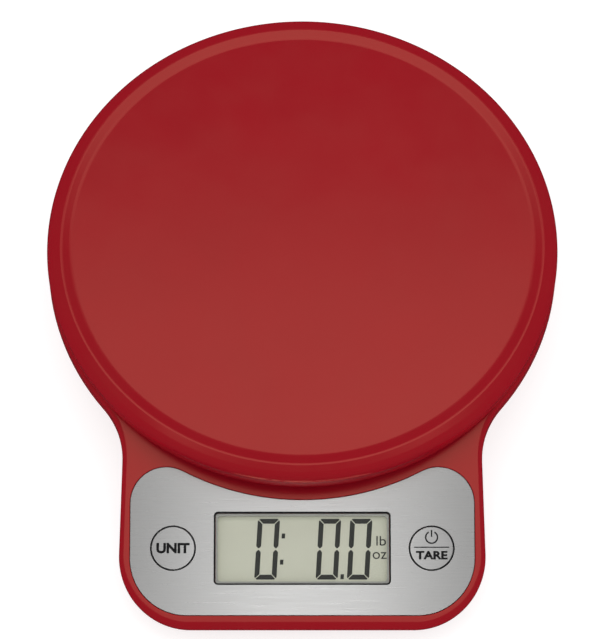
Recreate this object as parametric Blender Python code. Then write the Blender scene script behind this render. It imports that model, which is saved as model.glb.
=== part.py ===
"""Compact round-platform portion scale.

A keyhole-shaped plastic case carries a round platter on one load cell.  The case's front lobe is tilted and
holds a metal face panel with a liquid-crystal display and two round keys.  Two AAA cells sit under the rear,
behind a hinged door.

Metres, +Z up, the display towards -Y.  The origin is on the table, under the middle of the whole scale.
Lengths named below are measured from the platter's axis, or from the key line for what is on the tilted lobe.
"""
import math

import bmesh
import bpy
from mathutils import Matrix, Vector

MM = 0.001

# Driving dimensions
PLATTER_RADIUS = 83.3 * MM
CASE_RADIUS = 83.5 * MM
FRONT_REACH = 124.8 * MM  # platter axis to the foremost edge of the case
OVERALL_HEIGHT = 36.0 * MM
DECK_TILT = math.radians(12)
CLEARANCE = 0.3 * MM  # left between pieces that touch
BOLT_CLEARANCE = 0.4 * MM  # around a screw's shank in its hole
PLATTER_AXIS_Y = (FRONT_REACH - CASE_RADIUS) / 2

# Platter: a shallow dish with a rounded rim and a skirt
DISC_TOP = 35.2 * MM
DISC_RADIUS = 75.5 * MM
CREST_RADIUS = 78.9 * MM
CREST_WIDTH = 0.7 * MM
SHOULDER_FALL = math.radians(18)  # slope from the crest out to the rounded shoulder
SHOULDER_RADIUS = 3.4 * MM
PLATTER_WALL = 2.2 * MM
SKIRT_DRAFT = math.radians(6)
SKIRT_BOTTOM = 27.2 * MM
SKIRT_WALL = 1.3 * MM
SKIRT_EDGE = 0.3 * MM
PLATTER_SEGMENTS = 60

# Case plan: a circle and a lobe, joined by hollow fillets
NECK_FILLET = 29.0 * MM
LOBE_HALF_WIDTH = 58.6 * MM
LOBE_CORNER = 23.0 * MM
LOBE_FLARE = math.radians(1.5)  # the lobe's sides open towards the front

# Case section
DECK_HEIGHT = 26.0 * MM
DECK_CREASE_Y = -58.0 * MM  # in front of this line the deck is tilted
DECK_EDGE_RADIUS = 1.8 * MM
WALL = 2.0 * MM
FLOOR_BOTTOM = 2.0 * MM
FLOOR_TOP = 4.2 * MM
BELT_HEIGHT = 19.3 * MM  # the side wall is upright above the belt and tapers below it
BELT_DROP = 3.2 * MM  # least drop from the deck to the belt
SIDE_TAPER = math.radians(32)
PARTING_HEIGHT = 8.0 * MM

# Display lobe, about the key line
KEY_LINE_Y = -99.8 * MM
RECESS_DEPTH = 0.95 * MM
PANEL_TOP = -0.05 * MM
PANEL_BOTTOM = -0.65 * MM
PANEL_ARC_RADIUS = 84.4 * MM
PANEL_HALF_WIDTH = 55.2 * MM
PANEL_FRONT_Y = -121.1 * MM
PANEL_UPPER_CORNER = 11.6 * MM
PANEL_LOWER_CORNER = 18.3 * MM
WINDOW_SIZE = (56.6 * MM, 23.7 * MM)
WINDOW_CORNER = 1.4 * MM
VIEW_OPENING = (54.6 * MM, 21.7 * MM)
GLASS_SIZE = (56.8 * MM, 23.9 * MM)
GLASS_TOP = -2.6 * MM
GLASS_BOTTOM = -4.4 * MM
BEZEL_WALL = 1.9 * MM
KEY_X = 41.3 * MM
KEY_RADIUS = 7.1 * MM
KEY_GAP = 0.35 * MM
KEY_FLANGE_RADIUS = 8.4 * MM
KEY_TRAVEL = 0.4 * MM
PCB_TOP = -6.5 * MM
PCB_BOTTOM = -7.7 * MM

# Weighing mechanism
BAR_SIZE = (60.0 * MM, 12.7 * MM, 9.0 * MM)
BAR_BOTTOM = 7.8 * MM
BAR_TOP = BAR_BOTTOM + BAR_SIZE[2]
BAR_END_SCREWS = (18.0 * MM, 26.0 * MM)
HUB_RADIUS = 14.0 * MM
HUB_TOP = 28.0 * MM
HUB_HOLE_RADIUS = 16.0 * MM
BRACKET_BOTTOM = 28.3 * MM
BRACKET_TOP = 30.3 * MM
BRACKET_RADIUS = 50.0 * MM
BRACKET_SCREW_X = 7.0 * MM
PLATTER_BOSS_DISTANCE = 42.0 * MM

# Battery bay, under the rear of the case; the door hinges on the bay's front edge
CELL_RADIUS = 5.25 * MM
CELL_LENGTH = 44.5 * MM
BAY_HALF_LENGTH = 26.0 * MM
BAY_ROOF = 15.6 * MM
BAY_END_WALL = 3.0 * MM
BAY_SIDE_WALL = 1.4 * MM
HINGE_Y = 25.0 * MM
HINGE_Z = 3.3 * MM
DOOR_DEPTH = 27.0 * MM
DOOR_THICKNESS = 1.6 * MM
HINGE_PIN_RADIUS = 0.7 * MM
CELL_Y = (HINGE_Y + 6.2 * MM, HINGE_Y + 18.2 * MM)
CELL_Z = 9.85 * MM

# Feet and case screws: (x, y) on the right-hand side, repeated on the left
FOOT_RADIUS = 6.0 * MM
FOOT_PLACES = ((54.0 * MM, 25.0 * MM), (40.0 * MM, -106.0 * MM))
CASE_SCREW_PLACES = ((41.0 * MM, 49.0 * MM), (64.0 * MM, 0.0), (40.0 * MM, -68.0 * MM))
PCB_SCREW_PLACES = ((46.0 * MM, 12.0 * MM), (34.5 * MM, -11.0 * MM))
POST_RADIUS = 3.5 * MM
BOARD_POST_RADIUS = 2.6 * MM
SCREW_SEGMENTS = 8
SHANK_RADIUS = 1.3 * MM
SCREW_HOLE = SHANK_RADIUS + BOLT_CLEARANCE
HEAD_POCKET_RADIUS = 3.2 * MM

# Leads: places along each one, in millimetres, from its contact or the load cell to the circuit board
LEAD_RADIUS = 0.6 * MM
LEAD_SPACING = 7.0 * MM
LEAD_HOLE_X = 24.5 * MM
LEAD_HOLE_RADIUS = 1.1 * MM
LEAD_ROUTES = {
    "battery_lead_black": (
        (-24.5, 31.2, 14.2), (-24.5, 31.2, 16.6), (-24.5, 31.0, 18.6), (-27.0, 24.0, 20.5),
        (-33.0, 8.0, 19.5), (-34.0, -20.0, 16.5), (-30.0, -50.0, 15.5), (-26.0, -72.0, 18.0),
        (-24.0, -83.2, 16.9), (-24.0, -83.75, 14.55),
    ),
    "battery_lead_red": (
        (-24.5, 43.2, 14.2), (-24.5, 43.2, 16.6), (-24.5, 43.0, 18.6), (-29.0, 36.0, 20.5),
        (-37.0, 12.0, 20.5), (-38.0, -18.0, 17.5), (-34.5, -50.0, 16.5), (-30.0, -72.0, 18.0),
        (-28.0, -83.2, 16.9), (-28.0, -83.75, 14.55),
    ),
    "load_cell_lead": (
        (-24.0, -7.3, 12.0), (-22.0, -11.0, 12.0), (-18.0, -24.0, 11.0), (-14.0, -48.0, 12.5),
        (-18.0, -70.0, 17.0), (-19.0, -83.2, 16.9), (-19.0, -83.75, 14.55),
    ),
}

ARC_STEP = math.radians(7.5)


# ---------------------------------------------------------------- scene, materials and frames

def clear_scene():
    for item in list(bpy.data.objects):
        bpy.data.objects.remove(item, do_unlink=True)


def make_material(name, colour, roughness, metallic=0.0):
    material = bpy.data.materials.new(name)
    material.use_nodes = True
    shader = material.node_tree.nodes["Principled BSDF"]
    shader.inputs["Base Color"].default_value = (*colour, 1.0)
    shader.inputs["Roughness"].default_value = roughness
    shader.inputs["Metallic"].default_value = metallic
    return material


def make_frame(name, location, tilt=0.0, parent=None):
    frame = bpy.data.objects.new(name, None)
    bpy.context.collection.objects.link(frame)
    frame.location = location
    frame.rotation_euler = (tilt, 0.0, 0.0)
    frame.parent = parent
    return frame


def deck_height(y):
    return DECK_HEIGHT - math.tan(DECK_TILT) * max(0.0, DECK_CREASE_Y - y)


# ---------------------------------------------------------------- solids, added to a bmesh

def add_loops(bm, rings):
    """Skin closed rings of points in order, the last ring back to the first; a one-point ring is a pole."""
    loops = [[bm.verts.new(point) for point in ring] for ring in rings]
    for loop, following in zip(loops, loops[1:] + loops[:1]):
        if len(loop) == 1 and len(following) == 1:
            continue
        for k in range(max(len(loop), len(following))):
            corners = (
                loop[k % len(loop)],
                loop[(k + 1) % len(loop)],
                following[(k + 1) % len(following)],
                following[k % len(following)],
            )
            bm.faces.new(list(dict.fromkeys(corners)))


def add_turned(bm, profile, segments, centre=(0.0, 0.0)):
    """Turn a (radius, height) profile about an upright axis; it starts and ends on the axis, or is a loop."""
    rings = []
    for radius, height in profile:
        count = segments if radius > 0 else 1
        turn = math.tau / count
        rings.append([
            (centre[0] + radius * math.cos(k * turn), centre[1] + radius * math.sin(k * turn), height)
            for k in range(count)
        ])
    add_loops(bm, rings)


def add_cylinder(bm, radius, bottom, top, centre=(0.0, 0.0), segments=24):
    add_turned(bm, ((0.0, bottom), (radius, bottom), (radius, top), (0.0, top)), segments, centre)


def add_post(bm, radius, bottom, hole_top, top, centre):
    """A screw post: a cylinder with a blind hole in its lower end."""
    add_turned(bm, ((0.0, hole_top), (SCREW_HOLE, hole_top), (SCREW_HOLE, bottom), (radius, bottom),
                    (radius, top), (0.0, top)), SCREW_SEGMENTS, centre)


def add_screw_hollow(bm, bottom, pocket_top, top, centre):
    """The hollow for a screw put in from below: a wide pocket for its head, then its hole."""
    add_turned(bm, ((0.0, bottom), (HEAD_POCKET_RADIUS, bottom), (HEAD_POCKET_RADIUS, pocket_top),
                    (SCREW_HOLE, pocket_top), (SCREW_HOLE, top), (0.0, top)), 16, centre)


def add_box(bm, low, high):
    middle = (Vector(low) + Vector(high)) / 2
    size = Vector(high) - Vector(low)
    bmesh.ops.create_cube(bm, size=1.0, matrix=Matrix.Translation(middle) @ Matrix.Diagonal((*size, 1.0)))


def add_prism(bm, outline, bottom, top):
    lower = [bm.verts.new((x, y, bottom)) for x, y in outline]
    upper = [bm.verts.new((x, y, top)) for x, y in outline]
    bm.faces.new(lower)
    bm.faces.new(upper)
    count = len(outline)
    for k in range(count):
        following = (k + 1) % count
        bm.faces.new((lower[k], lower[following], upper[following], upper[k]))


def add_bar_along_x(bm, radius, low_x, high_x, y, z, segments=16):
    turn = math.tau / segments
    ends = [
        [(x, y + radius * math.cos(k * turn), z + radius * math.sin(k * turn)) for k in range(segments)]
        for x in (low_x, high_x)
    ]
    add_loops(bm, [[(low_x, y, z)], ends[0], ends[1], [(high_x, y, z)]])


def arc(centre, radius, start, end, step=ARC_STEP):
    """Points on an arc, both ends included; the angles are in radians."""
    count = max(2, math.ceil(abs(end - start) / step - 1e-6))
    return [
        (centre[0] + radius * math.cos(start + (end - start) * k / count),
         centre[1] + radius * math.sin(start + (end - start) * k / count))
        for k in range(count + 1)
    ]


def rounded_rectangle(width, depth, radius, step=math.radians(30)):
    outline = []
    for quarter, (side_x, side_y) in enumerate(((1, 1), (-1, 1), (-1, -1), (1, -1))):
        centre = (side_x * (width / 2 - radius), side_y * (depth / 2 - radius))
        outline += arc(centre, radius, quarter * math.pi / 2, (quarter + 1) * math.pi / 2, step)
    return outline


# ---------------------------------------------------------------- objects

def make_piece(name, bm, material, parent=None, origin=(0.0, 0.0, 0.0)):
    """Turn a bmesh into a named object whose origin is at the given point of its parent frame."""
    bmesh.ops.translate(bm, vec=-Vector(origin), verts=bm.verts)
    bmesh.ops.recalc_face_normals(bm, faces=bm.faces)
    mesh = bpy.data.meshes.new(name)
    bm.to_mesh(mesh)
    bm.free()
    mesh.shade_smooth()
    mesh.set_sharp_from_angle(angle=math.radians(35))
    if material is not None:
        mesh.materials.append(material)
    piece = bpy.data.objects.new(name, mesh)
    bpy.context.collection.objects.link(piece)
    piece.location = origin
    piece.parent = parent
    return piece


def combine(piece, bm, operation, parent, label):
    """Give a piece a Boolean with a hidden guide made from a bmesh."""
    guide = make_piece(f"{piece.name}_{label}", bm, None, parent)
    guide.hide_render = True
    guide.display_type = "WIRE"
    modifier = piece.modifiers.new(label, "BOOLEAN")
    modifier.operation = operation
    modifier.solver = "EXACT"
    modifier.object = guide


def both_sides(places):
    return [(side * x, y) for x, y in places for side in (1, -1)]


# ---------------------------------------------------------------- case

def case_half_outline():
    """The right side of the case's plan, from the back to the straight front edge, as (x, y, normal x, y)."""
    side = Vector((math.cos(LOBE_FLARE), math.sin(LOBE_FLARE)))
    forward = Vector((math.sin(LOBE_FLARE), -math.cos(LOBE_FLARE)))
    corner = Vector((LOBE_HALF_WIDTH - LOBE_CORNER, LOBE_CORNER - FRONT_REACH))
    across = side.dot(corner) + LOBE_CORNER + NECK_FILLET
    along = math.sqrt((CASE_RADIUS + NECK_FILLET) ** 2 - across ** 2)
    fillet = side * across + forward * along
    neck_angle = math.atan2(fillet.y, fillet.x)

    half = []
    for x, y in arc((0.0, 0.0), CASE_RADIUS, math.pi / 2, neck_angle):
        half.append((x, y, x / CASE_RADIUS, y / CASE_RADIUS))
    hollow = arc(fillet, NECK_FILLET, neck_angle + math.pi, math.pi + LOBE_FLARE, 2 * ARC_STEP)
    for x, y in hollow[1:]:
        half.append((x, y, (fillet.x - x) / NECK_FILLET, (fillet.y - y) / NECK_FILLET))
    for x, y in arc(corner, LOBE_CORNER, LOBE_FLARE, -math.pi / 2, 2 * ARC_STEP):
        half.append((x, y, (x - corner.x) / LOBE_CORNER, (y - corner.y) / LOBE_CORNER))
    return half


def add_case_solid(bm, wall, deck_drop, bottom, edge_radius):
    """The case's outer form, moved in by a wall, from below the deck down to a flat bottom."""
    levels = [(edge_radius * (1 - math.sin(turn)), edge_radius * (1 - math.cos(turn)))
              for turn in (0.0, math.pi / 6, math.pi / 3, math.pi / 2)]
    if edge_radius == 0.0:
        levels = [(0.0, 0.0)]

    def ring_point(x, y, normal_x, normal_y, inset, height_rule):
        moved_y = y - normal_y * inset
        return (x - normal_x * inset, moved_y, height_rule(moved_y))

    def belt(y):
        return min(BELT_HEIGHT, deck_height(y) - BELT_DROP)

    half = case_half_outline()
    levels_here = [
        (wall + inset, lambda y, drop=drop: deck_height(y) - deck_drop - drop) for inset, drop in levels
    ]
    rings = [[ring_point(*place, inset, rule) for place in half] for inset, rule in levels_here]
    rings.append([ring_point(*place, wall, belt) for place in half])
    rings.append([
        ring_point(*place, wall + (belt(place[1]) - bottom) * math.tan(SIDE_TAPER), lambda y: bottom)
        for place in half
    ])

    loops = []
    for ring in rings:
        mirrored = [(-x, y, z) for x, y, z in reversed(ring[1:])]
        loops.append([bm.verts.new(point) for point in ring + mirrored])
    count = len(loops[0])
    for loop, below in zip(loops, loops[1:]):
        for k in range(count):
            following = (k + 1) % count
            bm.faces.new((loop[k], loop[following], below[following], below[k]))
    # The deck and the floor are strips from side to side, because their height changes only along Y.
    for loop in (loops[0], loops[-1]):
        for k in range(count // 2):
            corners = (loop[k], loop[-k], loop[-k - 1], loop[k + 1])
            bm.faces.new(list(dict.fromkeys(corners)))


def make_case_shell(name, material, frame, keep_above):
    bm = bmesh.new()
    add_case_solid(bm, 0.0, 0.0, FLOOR_BOTTOM, DECK_EDGE_RADIUS)
    shell = make_piece(name, bm, material, frame)
    cavity = bmesh.new()
    add_case_solid(cavity, WALL, PLATTER_WALL, FLOOR_TOP, 0.0)
    combine(shell, cavity, "DIFFERENCE", frame, "cavity")
    reach = 2 * FRONT_REACH
    other_part = bmesh.new()
    if keep_above:
        add_box(other_part, (-reach, -reach, -reach), (reach, reach, PARTING_HEIGHT + CLEARANCE / 2))
    else:
        add_box(other_part, (-reach, -reach, PARTING_HEIGHT - CLEARANCE / 2), (reach, reach, reach))
    combine(shell, other_part, "DIFFERENCE", frame, "parting")
    return shell


def make_upper_case(material, frame, display_frame):
    shell = make_case_shell("upper_case", material, frame, keep_above=True)

    recess = bmesh.new()
    add_prism(recess, panel_outline(0.0), -RECESS_DEPTH, 5 * MM)
    combine(shell, recess, "DIFFERENCE", display_frame, "recess")
    openings = bmesh.new()
    add_prism(openings, rounded_rectangle(*VIEW_OPENING, WINDOW_CORNER), -5 * MM, 5 * MM)
    for side in (1, -1):
        add_cylinder(openings, KEY_RADIUS + KEY_GAP, -5 * MM, 5 * MM, (side * KEY_X, 0.0), 32)
    combine(shell, openings, "DIFFERENCE", display_frame, "openings")

    posts = bmesh.new()
    for place in both_sides(CASE_SCREW_PLACES):
        top = deck_height(place[1] - POST_RADIUS) - WALL / 2
        add_post(posts, POST_RADIUS, PARTING_HEIGHT + 1.2 * MM, 18.2 * MM, top, place)
    combine(shell, posts, "UNION", frame, "posts")
    board_posts = bmesh.new()
    for place in both_sides(PCB_SCREW_PLACES):
        add_post(board_posts, BOARD_POST_RADIUS, PCB_TOP + CLEARANCE, -2.4 * MM, -WALL * 0.7, place)
    combine(shell, board_posts, "UNION", display_frame, "board_posts")
    hub_hole = bmesh.new()
    add_cylinder(hub_hole, HUB_HOLE_RADIUS, DECK_HEIGHT - 5 * MM, DECK_HEIGHT + 5 * MM, segments=32)
    combine(shell, hub_hole, "DIFFERENCE", frame, "hub_hole")


def make_lower_case(material, frame):
    shell = make_case_shell("lower_case", material, frame, keep_above=False)
    bay_back = HINGE_Y + DOOR_DEPTH + 0.5 * MM
    bay_front = HINGE_Y - 1.15 * MM

    bay = bmesh.new()
    add_box(bay,
            (-BAY_HALF_LENGTH - BAY_END_WALL, bay_front - BAY_SIDE_WALL, FLOOR_TOP - 1 * MM),
            (BAY_HALF_LENGTH + BAY_END_WALL, bay_back + BAY_SIDE_WALL, BAY_ROOF + BAY_SIDE_WALL))
    combine(shell, bay, "UNION", frame, "bay")
    side_holes = bmesh.new()
    for side in (1, -1):
        inner, outer = sorted((side * (BAY_HALF_LENGTH - 1 * MM), side * (BAY_HALF_LENGTH + 1.9 * MM)))
        add_bar_along_x(side_holes, HINGE_PIN_RADIUS + CLEARANCE, inner, outer, HINGE_Y, HINGE_Z, 12)
    for y in CELL_Y:
        add_cylinder(side_holes, LEAD_HOLE_RADIUS, BAY_ROOF - 2 * MM, BAY_ROOF + 4 * MM,
                     (-LEAD_HOLE_X, y), 12)
    combine(shell, side_holes, "DIFFERENCE", frame, "side_holes")
    bosses = bmesh.new()
    for place in both_sides(CASE_SCREW_PLACES):
        add_cylinder(bosses, 4.5 * MM, FLOOR_TOP - 1 * MM, PARTING_HEIGHT + 0.9 * MM, place, 16)
    combine(shell, bosses, "UNION", frame, "bosses")

    hollows = bmesh.new()
    add_box(hollows, (-BAY_HALF_LENGTH, bay_front, 0.0), (BAY_HALF_LENGTH, bay_back, BAY_ROOF))
    for place in both_sides(FOOT_PLACES):
        add_cylinder(hollows, FOOT_RADIUS + CLEARANCE, 0.0, 3.3 * MM, place)
    for place in both_sides(CASE_SCREW_PLACES):
        add_screw_hollow(hollows, 0.0, 4.4 * MM, 12 * MM, place)
    for x in BAR_END_SCREWS:
        add_screw_hollow(hollows, 0.0, 3.2 * MM, 6 * MM, (-x, 0.0))
    combine(shell, hollows, "DIFFERENCE", frame, "hollows")


def make_feet(material, frame):
    for number, place in enumerate(both_sides(FOOT_PLACES), start=1):
        bm = bmesh.new()
        profile = ((0.0, 0.0), (FOOT_RADIUS - 1 * MM, 0.0), (FOOT_RADIUS - 0.3 * MM, 0.4 * MM),
                   (FOOT_RADIUS, 1.2 * MM), (FOOT_RADIUS, 3.0 * MM), (0.0, 3.0 * MM))
        add_turned(bm, profile, 20)
        make_piece(f"foot_{number}", bm, material, frame).location = (*place, 0.0)


# ---------------------------------------------------------------- platter and weighing mechanism

def platter_profile():
    """Closed section, from the top of the axis over the rim, down the skirt and back under the disc."""
    shoulder_start = math.pi / 2 - SHOULDER_FALL
    shoulder_x = PLATTER_RADIUS - SHOULDER_RADIUS
    start_x = shoulder_x + SHOULDER_RADIUS * math.cos(shoulder_start)
    start_z = OVERALL_HEIGHT - (start_x - CREST_RADIUS) * math.tan(SHOULDER_FALL)
    centre = (shoulder_x, start_z - SHOULDER_RADIUS * math.sin(shoulder_start))

    outer = [(0.0, DISC_TOP), (DISC_RADIUS, DISC_TOP), (CREST_RADIUS - CREST_WIDTH, OVERALL_HEIGHT),
             (CREST_RADIUS, OVERALL_HEIGHT)]
    outer += arc(centre, SHOULDER_RADIUS, shoulder_start, -SKIRT_DRAFT, math.radians(20))
    low_shoulder = outer[-1]
    skirt_x = low_shoulder[0] - (low_shoulder[1] - SKIRT_BOTTOM) * math.tan(SKIRT_DRAFT)
    outer += [(skirt_x, SKIRT_BOTTOM + SKIRT_EDGE), (skirt_x - SKIRT_EDGE, SKIRT_BOTTOM)]
    inner = [(skirt_x - SKIRT_WALL, SKIRT_BOTTOM)]
    inner += arc(centre, SHOULDER_RADIUS - PLATTER_WALL, 0.0, math.pi / 2, math.radians(45))
    inner += [(DISC_RADIUS - 1 * MM, DISC_TOP - PLATTER_WALL), (0.0, DISC_TOP - PLATTER_WALL)]
    return outer + inner


def ring_places(distance, count, first_angle):
    return [
        (distance * math.cos(first_angle + k * math.tau / count),
         distance * math.sin(first_angle + k * math.tau / count))
        for k in range(count)
    ]


PLATTER_SCREW_PLACES = ring_places(PLATTER_BOSS_DISTANCE, 4, math.pi / 4)


def make_platter(material, frame):
    bm = bmesh.new()
    add_turned(bm, platter_profile(), PLATTER_SEGMENTS)
    platter = make_piece("platter", bm, material, frame)
    bosses = bmesh.new()
    for place in PLATTER_SCREW_PLACES:
        add_cylinder(bosses, 4 * MM, BRACKET_TOP + CLEARANCE, DISC_TOP - PLATTER_WALL / 2, place, 16)
    combine(platter, bosses, "UNION", frame, "bosses")
    holes = bmesh.new()
    for place in PLATTER_SCREW_PLACES:
        add_cylinder(holes, SCREW_HOLE, BRACKET_TOP - 1 * MM, DISC_TOP - 1.2 * MM, place, SCREW_SEGMENTS)
    combine(platter, holes, "DIFFERENCE", frame, "holes")


def make_bracket(material, frame):
    bm = bmesh.new()
    add_cylinder(bm, BRACKET_RADIUS, BRACKET_BOTTOM, BRACKET_TOP, segments=48)
    bracket = make_piece("platter_bracket", bm, material, frame)
    holes = bmesh.new()
    for place in PLATTER_SCREW_PLACES:
        add_screw_hollow(holes, BRACKET_BOTTOM - 1 * MM, BRACKET_BOTTOM + 1.3 * MM, BRACKET_TOP + 1 * MM,
                         place)
    for side in (1, -1):
        add_cylinder(holes, SCREW_HOLE, BRACKET_BOTTOM - 1 * MM, BRACKET_TOP + 1 * MM,
                     (side * BRACKET_SCREW_X, 0.0), SCREW_SEGMENTS)
    combine(bracket, holes, "DIFFERENCE", frame, "holes")


def make_hub(material, frame):
    arm_bottom = BAR_TOP + 1.8 * MM
    arm_top = arm_bottom + 2.0 * MM
    arm_end = BAR_SIZE[0] / 2
    arm_half_width = 8.0 * MM
    bm = bmesh.new()
    add_cylinder(bm, HUB_RADIUS, arm_bottom, HUB_TOP, segments=32)
    hub = make_piece("platter_hub", bm, material, frame)
    arm = bmesh.new()
    foot_start = HUB_RADIUS - 0.5 * MM
    foot_bottom = BAR_TOP + CLEARANCE
    section = ((0.0, arm_top), (arm_end, arm_top), (arm_end, foot_bottom), (foot_start, foot_bottom),
               (foot_start, arm_bottom + 0.2 * MM), (0.0, arm_bottom + 0.2 * MM))
    sides = [[(x, y, z) for x, z in section] for y in (-arm_half_width, arm_half_width)]
    rings = [[arm.verts.new(point) for point in ring] for ring in sides]
    arm.faces.new(rings[0])
    arm.faces.new(rings[1])
    for k in range(len(section)):
        following = (k + 1) % len(section)
        arm.faces.new((rings[0][k], rings[0][following], rings[1][following], rings[1][k]))
    combine(hub, arm, "UNION", frame, "arm")
    holes = bmesh.new()
    for x in BAR_END_SCREWS:
        add_cylinder(holes, SCREW_HOLE, BAR_TOP - 1 * MM, arm_top + 1 * MM, (x, 0.0), SCREW_SEGMENTS)
    for side in (1, -1):
        add_cylinder(holes, SCREW_HOLE, arm_bottom + 2.5 * MM, HUB_TOP + 1 * MM,
                     (side * BRACKET_SCREW_X, 0.0), SCREW_SEGMENTS)
    combine(hub, holes, "DIFFERENCE", frame, "holes")


def make_load_cell(material, spacer_material, frame):
    length, width, _ = BAR_SIZE
    bm = bmesh.new()
    add_box(bm, (-length / 2, -width / 2, BAR_BOTTOM), (length / 2, width / 2, BAR_TOP))
    bar = make_piece("load_cell", bm, material, frame)
    # The two thinned hinges of the bar: overlapping round holes, joined by a slot.
    eye_radius = 3.4 * MM
    eye_distance = 5.0 * MM
    waist = math.asin(0.5)
    outline = arc((eye_distance, 0.0), eye_radius, waist - math.pi, math.pi - waist, math.radians(30))
    outline += arc((-eye_distance, 0.0), eye_radius, waist, math.tau - waist, math.radians(30))
    cut = bmesh.new()
    add_prism(cut, outline, -width, width)
    bmesh.ops.rotate(cut, verts=cut.verts, matrix=Matrix.Rotation(math.pi / 2, 3, "X"))
    bmesh.ops.translate(cut, verts=cut.verts, vec=(0.0, 0.0, (BAR_BOTTOM + BAR_TOP) / 2))
    combine(bar, cut, "DIFFERENCE", frame, "eye")
    holes = bmesh.new()
    for x in BAR_END_SCREWS:
        add_cylinder(holes, SCREW_HOLE, BAR_TOP - 6 * MM, BAR_TOP + 1 * MM, (x, 0.0), SCREW_SEGMENTS)
        add_cylinder(holes, SCREW_HOLE, BAR_BOTTOM - 1 * MM, BAR_BOTTOM + 6 * MM, (-x, 0.0), SCREW_SEGMENTS)
    combine(bar, holes, "DIFFERENCE", frame, "holes")

    plate = bmesh.new()
    add_box(plate, (-length / 2 - 1 * MM, -8 * MM, FLOOR_TOP + CLEARANCE),
            (-length / 2 + 17 * MM, 8 * MM, BAR_BOTTOM - CLEARANCE))
    spacer = make_piece("load_cell_spacer", plate, spacer_material, frame)
    spacer_holes = bmesh.new()
    for x in BAR_END_SCREWS:
        add_cylinder(spacer_holes, SCREW_HOLE, FLOOR_TOP - 1 * MM, BAR_BOTTOM + 1 * MM, (-x, 0.0),
                     SCREW_SEGMENTS)
    combine(spacer, spacer_holes, "DIFFERENCE", frame, "holes")


# ---------------------------------------------------------------- display lobe

def panel_outline(inset):
    """The face panel's outline on the tilted lobe; its top edge runs around the platter."""
    half_width = PANEL_HALF_WIDTH - inset
    arc_radius = PANEL_ARC_RADIUS + inset
    upper_radius = PANEL_UPPER_CORNER - inset
    lower_radius = PANEL_LOWER_CORNER - inset
    upper_x = half_width - upper_radius
    upper = (upper_x, -math.sqrt((arc_radius + upper_radius) ** 2 - upper_x ** 2))
    lower = (half_width - lower_radius, PANEL_FRONT_Y + inset + lower_radius)
    tangent = math.atan2(upper[1], upper[0])
    right = arc((0.0, 0.0), arc_radius, -math.pi / 2, tangent, math.radians(5))
    right += arc(upper, upper_radius, tangent + math.pi, 0.0, math.radians(15))[1:]
    right += arc(lower, lower_radius, 0.0, -math.pi / 2, math.radians(12))
    left = [(-x, y) for x, y in reversed(right[1:])]
    return [(x, (y - KEY_LINE_Y) / math.cos(DECK_TILT)) for x, y in right + left]


def make_face_panel(material, display_frame):
    bm = bmesh.new()
    add_prism(bm, panel_outline(CLEARANCE), PANEL_BOTTOM, PANEL_TOP)
    panel = make_piece("face_panel", bm, material, display_frame)
    openings = bmesh.new()
    add_prism(openings, rounded_rectangle(*WINDOW_SIZE, WINDOW_CORNER), -2 * MM, 2 * MM)
    for side in (1, -1):
        add_cylinder(openings, KEY_RADIUS + KEY_GAP, -2 * MM, 2 * MM, (side * KEY_X, 0.0), 32)
    combine(panel, openings, "DIFFERENCE", display_frame, "openings")


def make_display(materials, display_frame):
    def add_plate(name, width, depth, radius, bottom, top, material, y=0.0):
        bm = bmesh.new()
        outline = [(x, y + depth_y) for x, depth_y in rounded_rectangle(width, depth, radius)]
        add_prism(bm, outline, bottom, top)
        return make_piece(name, bm, material, display_frame)

    gap = 2 * CLEARANCE
    add_plate("lcd_window", WINDOW_SIZE[0] - gap, WINDOW_SIZE[1] - gap, WINDOW_CORNER - CLEARANCE,
              PANEL_BOTTOM, PANEL_TOP, materials["window"])
    add_plate("lcd_glass", *GLASS_SIZE, 0.6 * MM, GLASS_BOTTOM, GLASS_TOP, materials["display"])
    inner_size = [side + gap for side in GLASS_SIZE]
    outer_size = [side + 2 * BEZEL_WALL for side in inner_size]
    bezel = add_plate("lcd_bezel", *outer_size, 1.5 * MM, PCB_TOP + CLEARANCE, GLASS_TOP,
                      materials["white"])
    frame_opening = bmesh.new()
    add_prism(frame_opening, rounded_rectangle(*inner_size, 0.8 * MM), -9 * MM, 0.0)
    combine(bezel, frame_opening, "DIFFERENCE", display_frame, "opening")
    for name, y in (("zebra_strip_back", 10.2 * MM), ("zebra_strip_front", -10.2 * MM)):
        add_plate(name, 50.0 * MM, 2.0 * MM, 0.4 * MM, PCB_TOP + CLEARANCE, -4.7 * MM,
                  materials["rubber"], y)

    board = add_plate("circuit_board", 98.0 * MM, 31.0 * MM, 2.0 * MM, PCB_BOTTOM, PCB_TOP,
                      materials["board"], 1.2 * MM)
    holes = bmesh.new()
    for place in both_sides(PCB_SCREW_PLACES):
        add_cylinder(holes, SCREW_HOLE, PCB_BOTTOM - 1 * MM, PCB_TOP + 1 * MM, place, SCREW_SEGMENTS)
    combine(board, holes, "DIFFERENCE", display_frame, "holes")
    blob = bmesh.new()
    add_turned(blob, ((0.0, PCB_BOTTOM - CLEARANCE), (6 * MM, PCB_BOTTOM - CLEARANCE),
                      (5 * MM, PCB_BOTTOM - 0.9 * MM), (3 * MM, PCB_BOTTOM - 1.3 * MM),
                      (0.0, PCB_BOTTOM - 1.4 * MM)), 20)
    make_piece("chip_blob", blob, materials["black"], display_frame)


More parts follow.
